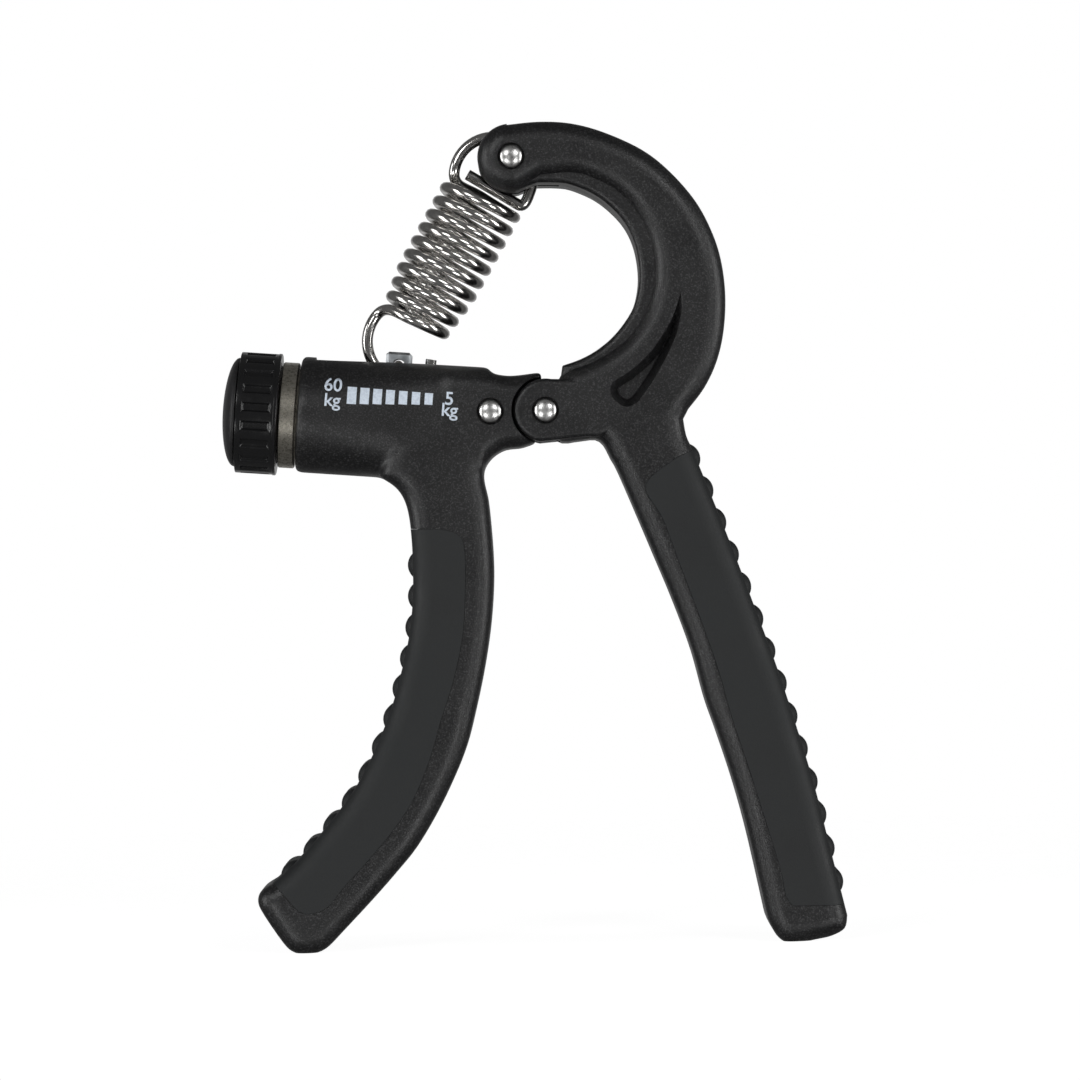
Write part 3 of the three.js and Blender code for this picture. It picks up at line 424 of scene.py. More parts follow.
def peg(name, radius, low, high, x=0.0, z=0.0):
    circle = arc(x, z, radius, 0, -360, 2 * math.pi * radius / round_sides)[:-1]
    return ring_body(name, [[(p.x, y, p.y) for p in circle] for y in (low, high)])


def turned(name, profile, sides=round_sides):
    """A piece turned round the barrel's axis: the profile's points are (station, radius)."""
    turns = [2 * math.pi * j / sides for j in range(sides)]
    rings = [[(u, r * math.cos(a), r * math.sin(a)) for a in turns] for u, r in profile]
    return ring_body(name, rings, caps=profile[0] != profile[-1])


def block(name, low, high):
    middle, size = (Vector(low) + Vector(high)) / 2, Vector(high) - Vector(low)
    bpy.ops.object.select_all(action="DESELECT")
    bpy.ops.mesh.primitive_cube_add(size=1, location=middle)
    piece = bpy.context.object
    piece.name = name
    piece.scale = size
    bpy.ops.object.transform_apply(location=True, rotation=True, scale=True)
    return piece


def put(piece, place):
    piece.data.transform(place)
    return piece


def worked(piece, kind, **settings):
    """One modifier, applied."""
    only(piece)
    modifier = piece.modifiers.new(kind.title(), kind)
    for name, value in settings.items():
        setattr(modifier, name, value)
    bpy.ops.object.modifier_apply(modifier=modifier.name)
    return piece


def combined(piece, operation, tools, solver="MANIFOLD"):
    for tool in tools:
        before = len(piece.data.polygons)
        worked(piece, "BOOLEAN", operation=operation, object=tool, solver=solver)
        if not piece.data.polygons and before:
            raise RuntimeError(f"{piece.name} is lost to {tool.name}")
        bpy.data.objects.remove(tool)
    return piece


def less(piece, *tools):
    return combined(piece, "DIFFERENCE", tools)


def plus(piece, *tools):
    return combined(piece, "UNION", tools)


def copy_of(piece, name):
    twin = piece.copy()
    twin.data = piece.data.copy()
    twin.name = name
    bpy.context.scene.collection.objects.link(twin)
    return twin


def smooth(piece, angle=32):
    only(piece)
    bpy.ops.object.shade_smooth_by_angle(angle=math.radians(angle))
    return worked(piece, "WEIGHTED_NORMAL", keep_sharp=True)


def in_box(piece):
    """Keeps a finer outline within the box of the coarser one that it follows."""
    low, high = (Vector(corner) for corner in cad_box)
    for vertex in piece.data.vertices:
        vertex.co = Vector(min(max(c, a), b) for c, a, b in zip(vertex.co, low, high))


def finished(piece, body, material, slot, *nodes):
    piece.data.materials.clear()
    piece.data.materials.append(material)
    in_box(piece)
    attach(piece, body)
    if nodes:
        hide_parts(*nodes)
    return piece


# Materials

def linear(code):
    """Linear colour from an sRGB hex value."""
    parts = [int(code[i:i + 2], 16) / 255 for i in (1, 3, 5)]
    return tuple(c / 12.92 if c <= 0.04045 else ((c + 0.055) / 1.055) ** 2.4 for c in parts) + (1,)


def add(tree, kind, inputs=None, **settings):
    """Adds a node with its settings; an input is a value or a socket to link."""
    node = tree.nodes.new(kind)
    for name, value in settings.items():
        setattr(node, name, value)
    for name, value in (inputs or {}).items():
        if isinstance(value, bpy.types.NodeSocket):
            tree.links.new(value, node.inputs[name])
        else:
            node.inputs[name].default_value = value
    return node


def surface(name, **sockets):
    """A material with its Principled shader and the object's coordinates."""
    material = bpy.data.materials.new(name)
    material.use_nodes = True
    tree = material.node_tree
    shader = tree.nodes["Principled BSDF"]
    for socket, value in sockets.items():
        shader.inputs[socket.replace("_", " ")].default_value = value
    place = add(tree, "ShaderNodeTexCoord").outputs["Object"]
    return material, tree, shader, place


def per(size_mm):
    """Texture scale at which one feature is about this size."""
    return 1 / (size_mm * MM)


def noise(tree, place, size_mm, detail=2.0, roughness=0.5):
    return add(tree, "ShaderNodeTexNoise", {
        "Vector": place, "Scale": per(size_mm), "Detail": detail, "Roughness": roughness,
    }).outputs["Fac"]


def ramp(tree, factor, stops, interpolation="LINEAR"):
    node = add(tree, "ShaderNodeValToRGB", {"Fac": factor})
    node.color_ramp.interpolation = interpolation
    elements = node.color_ramp.elements
    while len(elements) < len(stops):
        elements.new(0.5)
    for element, (position, code) in zip(elements, stops):
        element.position = position
        element.color = linear(code)
    return node.outputs["Color"]


def span(tree, factor, low, high, from_low=0.0, from_high=1.0):
    return add(tree, "ShaderNodeMapRange", {
        "Value": factor, "From Min": from_low, "From Max": from_high, "To Min": low, "To Max": high,
    }).outputs["Result"]


def bumped(tree, shader, height, depth_mm, strength=1.0):
    bump = add(tree, "ShaderNodeBump", {"Height": height, "Distance": depth_mm * MM, "Strength": strength})
    tree.links.new(bump.outputs["Normal"], shader.inputs["Normal"])


def grained_abs():
    # ABS moulded in a spark-eroded tool: an even fine grain that breaks the light into small
    # flecks. The real grain is about 0.1 mm and is drawn at 0.3 mm so that it shows.
    material, tree, shader, place = surface("grained_abs", IOR=1.53)
    grain = noise(tree, place, 0.3, 3.0, 0.6)
    patch = noise(tree, place, 9.0, 2.0)
    tone = ramp(tree, grain, [(0.34, "#060607"), (0.52, "#0f0f10"), (0.68, "#3b3b3c")])
    tree.links.new(tone, shader.inputs["Base Color"])
    tree.links.new(span(tree, patch, 0.36, 0.46, 0.3, 0.7), shader.inputs["Roughness"])
    bumped(tree, shader, grain, 0.07, 0.8)
    return material


def soft_rubber():
    # Thermoplastic rubber over the handle: smooth, dull, slightly blue grey, with faint wipe marks
    # and hardly any grain.
    material, tree, shader, place = surface("soft_rubber", IOR=1.50)
    fine = noise(tree, place, 0.35, 2.0, 0.6)
    wipe = noise(tree, place, 14.0, 4.0, 0.6)
    tone = ramp(tree, wipe, [(0.30, "#131516"), (0.70, "#191c1d")])
    tree.links.new(tone, shader.inputs["Base Color"])
    tree.links.new(span(tree, wipe, 0.54, 0.70, 0.3, 0.7), shader.inputs["Roughness"])
    bumped(tree, shader, fine, 0.045, 0.6)
    return material


def gloss_abs():
    # ABS from a polished tool: deep black with clear reflections and faint handling marks.
    material, tree, shader, place = surface("gloss_abs", IOR=1.53, Base_Color=linear("#141415"))
    marks = noise(tree, place, 2.5, 4.0, 0.7)
    tree.links.new(span(tree, marks, 0.14, 0.28, 0.35, 0.75), shader.inputs["Roughness"])
    bumped(tree, shader, marks, 0.01, 0.3)
    return material


def satin_abs():
    # ABS from a lightly blasted tool: a close satin that turns soft grey at the dome's edge.
    material, tree, shader, place = surface("satin_abs", IOR=1.53, Specular_IOR_Level=0.27)
    grain = noise(tree, place, 0.4, 2.0, 0.6)
    tone = ramp(tree, grain, [(0.35, "#1a1a1b"), (0.68, "#2a2a2b")])
    tree.links.new(tone, shader.inputs["Base Color"])
    tree.links.new(span(tree, grain, 0.38, 0.50, 0.3, 0.7), shader.inputs["Roughness"])
    bumped(tree, shader, grain, 0.03, 0.4)
    return material


def nickel_wire():
    # Nickel plated spring wire: a clear mirror broken by faint draw lines.
    material, tree, shader, place = surface("nickel_plated_wire", Metallic=1.0)
    draw = noise(tree, place, 1.2, 5.0, 0.7)
    tone = ramp(tree, draw, [(0.3, "#cbc9c6"), (0.7, "#e6e4e1")])
    tree.links.new(tone, shader.inputs["Base Color"])
    tree.links.new(span(tree, draw, 0.10, 0.24, 0.3, 0.7), shader.inputs["Roughness"])
    bumped(tree, shader, draw, 0.015, 0.3)
    return material


def rivet_steel():
    # Formed steel rivet, tumbled and plated: a soft satin dome with blurred lights in it.
    material, tree, shader, place = surface("tumbled_steel", Metallic=1.0)
    dents = noise(tree, place, 0.7, 3.0)
    tone = ramp(tree, dents, [(0.3, "#cecdcc"), (0.7, "#e4e4e2")])
    tree.links.new(tone, shader.inputs["Base Color"])
    tree.links.new(span(tree, dents, 0.26, 0.38, 0.3, 0.7), shader.inputs["Roughness"])
    bumped(tree, shader, dents, 0.012, 0.4)
    return material


def nickel_tube():
    # Nickel plated tube: warm grey, with a fine pitted speckle under the plating.
    material, tree, shader, place = surface("nickel_plated_tube", Metallic=1.0)
    pits = noise(tree, place, 0.55, 4.0, 0.75)
    tone = ramp(tree, pits, [(0.38, "#8b877c"), (0.55, "#cac5b9"), (0.75, "#e5e0d5")])
    tree.links.new(tone, shader.inputs["Base Color"])
    tree.links.new(span(tree, pits, 0.42, 0.22, 0.3, 0.7), shader.inputs["Roughness"])
    bumped(tree, shader, pits, 0.03, 0.5)
    return material


def cast_zinc():
    # Die-cast zinc: cool grey, smooth skin with soft flow marks.
    material, tree, shader, place = surface("die_cast_zinc", Metallic=1.0)
    flow = noise(tree, place, 1.6, 3.0)
    tone = ramp(tree, flow, [(0.3, "#bfc5c9"), (0.7, "#dde1e4")])
    tree.links.new(tone, shader.inputs["Base Color"])
    tree.links.new(span(tree, flow, 0.30, 0.46, 0.3, 0.7), shader.inputs["Roughness"])
    bumped(tree, shader, flow, 0.02, 0.4)
    return material


def plain_steel():
    # Turned steel: plain grey with the rings of the tool.
    material, tree, shader, place = surface("turned_steel", Metallic=1.0)
    rings = noise(tree, place, 0.35, 3.0, 0.6)
    tone = ramp(tree, rings, [(0.3, "#86857f"), (0.7, "#a3a29c")])
    tree.links.new(tone, shader.inputs["Base Color"])
    tree.links.new(span(tree, rings, 0.28, 0.44, 0.3, 0.7), shader.inputs["Roughness"])
    bumped(tree, shader, rings, 0.01, 0.4)
    return material


def natural_nylon():
    # Moulded nylon: milky white and waxy.
    material, tree, shader, place = surface("natural_nylon", IOR=1.53)
    cloud = noise(tree, place, 2.0, 2.0)
    tone = ramp(tree, cloud, [(0.3, "#d2d0c8"), (0.7, "#dfddd6")])
    tree.links.new(tone, shader.inputs["Base Color"])
    tree.links.new(span(tree, cloud, 0.42, 0.55, 0.3, 0.7), shader.inputs["Roughness"])
    return material


def pad_ink():
    # Pad printing ink: pale cool grey, even, with slightly thin spots over the grain below it.
    material, tree, shader, place = surface("pad_printing_ink", IOR=1.5, Roughness=0.6)
    cover = noise(tree, place, 0.45, 2.0)
    tone = ramp(tree, cover, [(0.3, "#c6d1df"), (0.6, "#dae5f1")])
    tree.links.new(tone, shader.inputs["Base Color"])
    return material


abs_black = grained_abs()
rubber = soft_rubber()
abs_gloss = gloss_abs()
abs_satin = satin_abs()
wire_nickel = nickel_wire()
steel_rivet = rivet_steel()
tube_nickel = nickel_tube()
zinc = cast_zinc()
steel = plain_steel()
nylon = natural_nylon()
ink = pad_ink()


# Shared shapes of the two handles

def rivet_hole(shank, x, z):
    reach, seat = half_width + past, half_width - rivet_ring_depth
    return [
        peg("hole", shank + fit_gap, -reach, reach, x, z),
        peg("ring_front", rivet_ring, -reach, -seat, x, z),
        peg("ring_rear", rivet_ring, seat, reach, x, z),
    ]


# Well outside the whole hand
far = 0.3


def below_feet():
    """Everything lower than the flat lands that the tips stand on, in the hand's frame."""
    piece = block("below", (-far, -far, -far), (far, far, foot_flat))
    low = Vector(cad_box[0])
    return put(piece, HAND.inverted() @ Matrix.Translation((0, 0, low.z - foot_flat)))


def panel_zone(shares, outside, reach, drop, grow):
    outline = joined(through(scaled(shares, reach, drop), outline_step), scaled(outside, reach, drop))
    return slab("zone", clockwise(outline), body_width + 2 * past, 0.0, -grow)


def clockwise(outline):
    area = sum(a.x * b.y - b.x * a.y for a, b in zip(outline, outline[1:] + outline[:1]))
    return outline if area < 0 else outline[::-1]


def stud_row(grip, line, span_shares, count):
    """Cross studs with round ends, sunk in the grip's outer edge."""
    lengths = [0.0]
    for a, b in zip(line, line[1:]):
        lengths.append(lengths[-1] + (b - a).length)
    sink = stud_radius - stud_height
    for i in range(count):
        share = span_shares[0] + (span_shares[1] - span_shares[0]) * i / (count - 1)
        k = next(k for k, length in enumerate(lengths) if length >= share * lengths[-1])
        way = (line[k] - line[k - 1]).normalized()
        spot = line[k - 1].lerp(
            line[k], (share * lengths[-1] - lengths[k - 1]) / (lengths[k] - lengths[k - 1]),
        )
        x, z = spot.x + way.y * sink, spot.y - way.x * sink
        stud = peg("stud", stud_radius, -stud_length / 2, stud_length / 2, x, z)
        worked(stud, "BEVEL", width=stud_radius * 0.8, segments=5, limit_method="ANGLE",
               angle_limit=math.radians(60))
        plus(grip, stud)


# Lever: hooked arm with the eye, hinge ears and handle

arm_outer = through(scaled(ARM_OUTER, arm_reach, arm_rise), outline_step)
arm_inner = through(scaled(ARM_INNER, arm_reach, arm_rise), outline_step)
leg_outer = through(scaled(LEG_OUTER, leg_reach, leg_drop), outline_step)
leg_tip = through(scaled(LEG_TIP, leg_reach, leg_drop), tip_step)
leg_inner = through(scaled(LEG_INNER, leg_reach, leg_drop), outline_step)
eye_rim = arc(eye_in_hand.x, eye_in_hand.z, eye_radius, *eye_arc, tip_step)
notch = scaled(NOTCH, arm_reach, arm_rise)[::-1]
lever_outline = joined(arm_outer, leg_outer, leg_tip, leg_inner, notch, arm_inner[::-1], eye_rim[::-1])
# The arm's full thickness ends at a crease, and a lower ledge goes on to the hollow
arm_crease = through(scaled(ARM_CREASE, arm_reach, arm_rise), outline_step)
creased_outline = joined(arm_outer, leg_outer, leg_tip, leg_inner, notch[:2], arm_crease[::-1], eye_rim[::-1])


def handle_parts(name, envelope, outline, shares, outside, reach, drop):
    """The rubber panel cut from a handle's skin, and the body with room for it."""
    grip = copy_of(envelope, f"{name}_grip_skin")
    combined(grip, "INTERSECT", [panel_zone(shares, outside, reach, drop, 0.0)])
    room = less(panel_zone(shares, outside, reach, drop, line_gap),
                slab("core", outline, body_width, edge_round, panel_depth))
    less(envelope, room)
    less(grip, slab("core", outline, body_width, edge_round, panel_depth - fit_gap))
    return envelope, grip


def lever_pieces():
    envelope = slab("lever_shell", creased_outline, body_width, edge_round)
    plus(envelope, slab("ledge", lever_outline, body_width - 2 * ledge_drop, ledge_edge, line_gap))
    body, grip = handle_parts(
        "lever", envelope, lever_outline, LEG_PANEL, LEG_PANEL_OUTSIDE, leg_reach, leg_drop,
    )
    stud_row(grip, leg_outer, LEG_STUD_SPAN, leg_stud_count)
    ear_line = arc(0, 0, ear_radius, 260, 80, tip_step) + arc(*ear_root, 80, -100, tip_step)
    ears = slab("ears", ear_line, body_width, ear_edge)
    plus(body, ears)
    less(body, peg("fork", fork_radius, -fork_half, fork_half))
    less(body, peg("eye_slot", eye_slot_radius, -eye_slot_half, eye_slot_half, eye_in_hand.x, eye_in_hand.z))
    less(body, *rivet_hole(hinge_shank, 0, 0), *rivet_hole(eye_shank, eye_in_hand.x, eye_in_hand.z))
    pocket = clockwise(joined(through(scaled(POCKET_OUTER, arm_reach, arm_rise), tip_step),
                              through(scaled(POCKET_INNER, arm_reach, arm_rise), tip_step)))
    for side in (-1, 1):
        less(body, ring_body("pocket", [
            [(x, side * (half_width - depth), z) for x, z in moved_in(pocket, inwards)]
            for inwards, depth in pocket_wall
        ]))
    less(body, below_feet())
    for piece in (body, grip):
        smooth(put(piece, HAND))
    finished(body, "lever", abs_black, "black_plastic", "lever_body")
    finished(grip, "lever", rubber, "grey_rubber", "lever_grip")


# Fixed handle: barrel, hub with the hinge tongue, and handle

hold_top = through(scaled(HOLD_TOP, hold_reach, hold_drop), outline_step)
hold_inner = through(scaled(HOLD_INNER, hold_reach, hold_drop), outline_step)
hold_tip = through(scaled(HOLD_TIP, hold_reach, hold_drop), tip_step)
hold_outer = through(scaled(HOLD_OUTER, hold_reach, hold_drop), outline_step)
hold_outline = joined(hold_top, hold_inner, hold_tip, hold_outer, scaled(HOLD_ROOT, hold_reach, hold_drop))


def barrel_shell():
    """A tube that turns from round at its mouth to nearly square in the hub."""
    rings = []
    stations = [0, mouth_round / 3, mouth_round] + [barrel_length * share / 12 for share in range(1, 13)]
    for u in stations:
        squareness = 2 + 3 * (u / barrel_length) ** 2
        short = mouth_round - math.sqrt(max(0, mouth_round ** 2 - max(0, mouth_round - u) ** 2))
        ring = []
        for j in range(2 * round_sides):
            angle = math.pi * j / round_sides
            c, s = math.cos(angle), math.sin(angle)
            radius = (barrel_radius - short) / (
                abs(c) ** squareness + abs(s) ** squareness
            ) ** (1 / squareness)
            ring.append((u, radius * c, radius * s))
        rings.append(ring)
    return put(ring_body("barrel", rings), HAND.inverted() @ BARREL @ Matrix.Translation(barrel_shift))


def fixed_pieces():
    skin = slab("fixed_handle_shell", hold_outline, body_width, edge_round)
    grip_source = copy_of(skin, "skin")
    plus(skin, barrel_shell())
    worked(skin, "REMESH", mode="VOXEL", voxel_size=body_voxel)
    worked(skin, "SMOOTH", factor=0.5, iterations=12)
    body, rest = handle_parts(
        "fixed_handle", skin, hold_outline, HOLD_PANEL, HOLD_PANEL_OUTSIDE, hold_reach, hold_drop,
    )
    bpy.data.objects.remove(rest)
    grip = grip_source
    grip.name = "fixed_handle_grip_skin"
    combined(grip, "INTERSECT", [panel_zone(HOLD_PANEL, HOLD_PANEL_OUTSIDE, hold_reach, hold_drop, 0.0)])
    less(grip, slab("core", hold_outline, body_width, edge_round, panel_depth - fit_gap))
    stud_row(grip, hold_outer, HOLD_STUD_SPAN, hold_stud_count)
    reach = half_width + past
    less(body, peg("ear_front", ear_radius + ear_gap, -reach, -tongue_half))
    less(body, peg("ear_rear", ear_radius + ear_gap, tongue_half, reach))
    plus(body, peg("tongue", tongue_radius, -tongue_half, tongue_half))
    less(body, peg("bush_hole", bush_hole, -reach, reach))
    bore = turned("bore", [(-past, 0), (-past, liner_radius + fit_gap),
                           (liner_length + fit_gap, liner_radius + fit_gap), (liner_length + fit_gap, 0)])
    slot = block(
        "slot", (slot_start, -slot_width / 2, 0), (shell_slot_end, slot_width / 2, barrel_radius + past),
    )
    for tool in (bore, slot):
        less(body, put(tool, HAND.inverted() @ BARREL))
    less(body, *rivet_hole(liner_shank, *liner_rivet_spot))
    less(body, below_feet())
    for piece in (body, grip):
        smooth(put(piece, HAND))
    finished(body, "fixed_handle", abs_black, "black_plastic", "fixed_handle_body")
    finished(grip, "fixed_handle", rubber, "grey_rubber", "fixed_handle_grip")
    return body


# Rivets

def rivet(name, shank, x, z, body, node):
    steps = 10
    dome = []
    for i in range(steps + 1):
        angle = i / steps * math.pi / 2
        dome.append((rivet_seat + rivet_head_rise * math.sin(angle), rivet_head_radius * math.cos(angle)))
    dome[-1] = (dome[-1][0], 0)
    side = [(rivet_seat, shank), *dome]
    profile = [(-u, r) for u, r in reversed(side)] + side
    piece = turned(name, profile, sides=48)
    put(piece, HAND @ Matrix.Translation((x, 0, z)) @ Matrix.Rotation(math.pi / 2, 4, "Z"))
    finished(smooth(piece, 50), body, steel_rivet, "bright_steel", node)


# Spring: one wire from the lower hook's tip, round the coil, to the upper hook's tip

spring_axis = (eye_place - anchor_place).normalized()
spring_side = Vector((spring_axis.z, 0, -spring_axis.x))
spring_length = (eye_place - anchor_place).length


def loop_arc(shift, centre, radius, first, last):
    count = round(abs(last - first) / 6)
    angles = [math.radians(first + (last - first) * i / count) for i in range(count + 1)]
    return [Vector((shift + radius * math.cos(a), 0, centre + radius * math.sin(a))) for a in angles]


def curve_between(start, start_way, end, end_way, count):
    pull = (end - start).length * hook_pull
    points = []
    for i in range(1, count):
        t = i / count
        points.append(start * (2 * t ** 3 - 3 * t ** 2 + 1) + start_way * pull * (t ** 3 - 2 * t ** 2 + t)
                      + end * (3 * t ** 2 - 2 * t ** 3) + end_way * pull * (t ** 3 - t ** 2))
    return points


def spring_path():
    def rise(radius, pin, shift):
        return math.sqrt((radius - wire_radius - pin - fit_gap) ** 2 - shift ** 2)

    lower_centre = rise(lower_loop_radius, anchor_bush_radius, lower_loop_shift)
    upper_centre = spring_length - rise(upper_loop_radius, spool_radius, upper_loop_shift)
    lower = loop_arc(lower_loop_shift, lower_centre, lower_loop_radius, *lower_loop_arc)
    upper = loop_arc(upper_loop_shift, upper_centre, upper_loop_radius, *upper_loop_arc)
    top = spring_length - coil_head
    coil = []
    for i in range(round(coil_turns * coil_steps) + 1):
        turn = i / coil_steps
        angle = (turn - coil_first_turn) * 2 * math.pi
        radius = coil_end_radius + (coil_radius - coil_end_radius) * min(1, turn / coil_taper_turns)
        height = coil_foot + (top - coil_foot) * turn / coil_turns
        coil.append(Vector((coil_shift + radius * math.cos(angle), radius * math.sin(angle), height)))

    def way(x, z):
        return Vector((x, 0, z)).normalized()

    def way_at(degrees):
        return way(math.sin(math.radians(degrees)), -math.cos(math.radians(degrees)))

    def on_hook(shares, radius, shift, centre):
        return Vector((shift + shares[0] * radius, 0, centre + shares[1] * radius))

    lower_tip = on_hook(lower_tip_shares, lower_loop_radius, lower_loop_shift, lower_centre)
    lower_tip_way = (lower[0] - lower_tip).normalized()
    tip = on_hook(hook_tip_shares, upper_loop_radius, upper_loop_shift, upper_centre)
    chord = on_hook(hook_chord_shares, upper_loop_radius, upper_loop_shift, upper_centre)
    return [
        lower_tip,
        *curve_between(lower_tip, lower_tip_way, lower[0], way_at(lower_loop_arc[0]), 8),
        *lower,
        *curve_between(lower[-1], way_at(lower_loop_arc[1]), coil[0], way(1, coil_lead_slope), 20),
        *coil,
        *curve_between(coil[-1], way(-1, coil_lead_slope), upper[0], way_at(upper_loop_arc[0]), 20),
        *upper,
        *curve_between(upper[-1], way_at(upper_loop_arc[1]), chord, (tip - chord).normalized(), 12),
        chord, chord.lerp(tip, 0.5), tip,
    ]


def spring():
    data = bpy.data.curves.new("spring_wire", "CURVE")
    data.dimensions = "3D"
    data.bevel_depth = wire_radius
    data.bevel_resolution = wire_sides // 4 + 1
    data.use_fill_caps = True
    line = data.splines.new("POLY")
    path = spring_path()
    line.points.add(len(path) - 1)
    place = Matrix.Translation(anchor_place) @ Matrix((
        (spring_side.x, 0, spring_axis.x, 0), (0, 1, 0, 0),
        (spring_side.z, 0, spring_axis.z, 0), (0, 0, 0, 1),
    ))
    for point, spot in zip(line.points, path):
        point.co = (*(place @ spot), 1)
    piece = bpy.data.objects.new("spring_wire", data)
    bpy.context.scene.collection.objects.link(piece)
    only(piece)
    bpy.ops.object.convert(target="MESH")
    piece = bpy.context.object
    smooth(piece, 50)
    piece.data.materials.clear()
    piece.data.materials.append(wire_nickel)
    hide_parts("main_spring")
    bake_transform(piece)


# Knob, screw and liner, all in the barrel's frame

def knob_ring():
    sides = knob_flutes * 6
    bpy.ops.object.select_all(action="DESELECT")
    bpy.ops.mesh.primitive_cylinder_add(
        vertices=sides, radius=knob_radius, depth=knob_length,
        location=(knob_face - knob_length / 2, 0, 0), rotation=(0, math.pi / 2, 0),
    )
    piece = bpy.context.object
    piece.name = "fluted_knob_ring"
    bpy.ops.object.transform_apply(location=True, rotation=True, scale=True)
    mesh = bmesh.new()
    mesh.from_mesh(piece.data)
    for station in (knob_face - knob_length + 1.1 * MM, knob_face - 1.2 * MM):
        bmesh.ops.bisect_plane(mesh, geom=mesh.verts[:] + mesh.edges[:] + mesh.faces[:],
                               plane_co=(station, 0, 0), plane_no=(1, 0, 0))
    mesh.faces.ensure_lookup_table()
    middle = knob_face - knob_length / 2
    flutes = []
    for face in mesh.faces:
        centre = face.calc_center_median()
        turn = math.degrees(math.atan2(centre.z, centre.y)) % (360 / knob_flutes) / (360 / knob_flutes)
        if abs(centre.x - middle) < knob_length / 4 and abs(face.normal.x) < 0.5 and turn > 0.5:
            flutes.append(face)
    bmesh.ops.inset_region(mesh, faces=flutes, thickness=0.28 * MM, depth=-knob_flute_depth,
                           use_even_offset=True)
    mesh.to_mesh(piece.data)
    mesh.free()
    worked(piece, "BEVEL", width=0.16 * MM, segments=2, limit_method="ANGLE", angle_limit=math.radians(25))
    flange = turned("flange", [
        (knob_face - knob_flange_length, 0), (knob_face - knob_flange_length, knob_flange_radius - 0.15 * MM),
        (knob_face - knob_flange_length + 0.12 * MM, knob_flange_radius),
        (knob_face - 0.12 * MM, knob_flange_radius), (knob_face, knob_flange_radius - 0.12 * MM),
        (knob_face, 0),
    ], sides=2 * round_sides)
    plus(piece, flange)
    rim = knob_face - knob_length
    less(piece, turned("recess", [(rim - past, 0), (rim - past, knob_recess_radius),
                                  (knob_face - knob_web, knob_recess_radius), (knob_face - knob_web, 0)]))
    less(piece, turned("washer_seat", [(knob_face - 0.45 * MM, 0), (knob_face - 0.45 * MM, 9.5 * MM),
                                       (knob_face + past, 9.5 * MM), (knob_face + past, 0)]))
    less(piece, turned("hole", [
        (rim - past, 0), (rim - past, journal_hole), (past, journal_hole), (past, 0),
    ]))
    finished(smooth(put(piece, BARREL), 30), "knob", abs_gloss, "gloss_plastic", "knob_ring")


def knob_cap():
    rim = knob_face - knob_length - 0.3 * MM
    steps = 16
    profile = [(rim - cap_rise * math.sin(i / steps * math.pi / 2),
                cap_radius * math.cos(i / steps * math.pi / 2))
               for i in range(steps, -1, -1)]
    profile[0] = (profile[0][0], 0)
    profile += [(rim, cap_skirt_radius), (rim + 2.8 * MM, cap_skirt_radius), (rim + 2.8 * MM, 8.2 * MM),
                (rim - 0.6 * MM, 8.2 * MM), (rim - 1.4 * MM, 5 * MM), (rim - 1.6 * MM, 0)]
    piece = turned("domed_knob_cap", profile, sides=2 * round_sides)
    finished(smooth(put(piece, BARREL), 40), "knob", abs_satin, "black_plastic", "knob_cap")


def lead_screw():
    """The screw with its thread: one turn of a tooth is wound up the core."""
    core = turned("threaded_lead_screw", [
        (knob_face - knob_web, 0), (knob_face - knob_web, journal_radius), (screw_start, journal_radius),
        (screw_start, screw_radius - 0.55 * MM), (screw_end - 0.9 * MM, screw_radius - 0.55 * MM),
        (screw_end, screw_radius - 1.4 * MM), (screw_end, 0),
    ])
    steps = 24
    turns = (screw_end - screw_start - 3 * MM) / screw_pitch
    rings = []
    for i in range(round(turns * steps) + 1):
        angle = 2 * math.pi * i / steps
        u = screw_start + 0.8 * MM + screw_pitch * i / steps
        tooth = [(-0.85, -0.75), (-0.45, 0.0), (0.45, 0.0), (0.85, -0.75)]
        rings.append([(u + a * MM, (screw_radius + b * MM) * math.cos(angle),
                       (screw_radius + b * MM) * math.sin(angle))
                      for a, b in tooth])
    thread = ring_body("thread", rings)
    plus(core, thread)
    finished(smooth(put(core, BARREL), 30), "knob", steel, "plain_steel", "lead_screw")


def liner():
    start = collar_end - collar_length
    chamfer = 0.2 * MM
    tube = turned("collared_liner", [
        (start, liner_bore), (start, collar_radius - chamfer), (start + chamfer, collar_radius),
        (collar_end - chamfer, collar_radius), (collar_end, collar_radius - chamfer),
        (collar_end, liner_radius), (liner_length, liner_radius),
        (liner_length, liner_bore), (start, liner_bore),
    ], sides=2 * round_sides)
    less(tube, block("slot", (slot_start, -slot_width / 2, 0), (slot_end, slot_width / 2, barrel_radius)))
    finished(smooth(put(tube, BARREL), 30), "fixed_handle", tube_nickel, "bright_steel", "barrel_liner")


def carriage():
    half = nut_lug_length / 2
    piece = block("cast_carriage_nut", (-half, -nut_lug_width / 2, nut_lug_foot),
                  (half, nut_lug_width / 2, nut_lug_top))
    worked(piece, "BEVEL", width=nut_bevel, segments=1, limit_method="ANGLE", angle_limit=math.radians(60))
    drum = turned("drum", [(-nut_length / 2, 0), (-nut_length / 2, liner_bore - fit_gap),
                           (nut_length / 2, liner_bore - fit_gap), (nut_length / 2, 0)])
    plus(piece, drum)
    less(piece, block("gap", (-past, -nut_gap_half, nut_gap_floor), (past, nut_gap_half, nut_lug_top + past)))
    less(piece, turned("bore", [(-past, 0), (-past, screw_radius + fit_gap), (past, screw_radius + fit_gap),
                                (past, 0)]))
    less(piece, peg("pin_hole", pin_hole, -past, past, 0, anchor_height))
    put(piece, BARREL @ Matrix.Translation((nut_station, 0, 0)))
    finished(smooth(piece, 30), "carriage", zinc, "zinc_cast", "carriage_nut")


# Print: the scale's bars and its two figures, laid on the barrel's skin

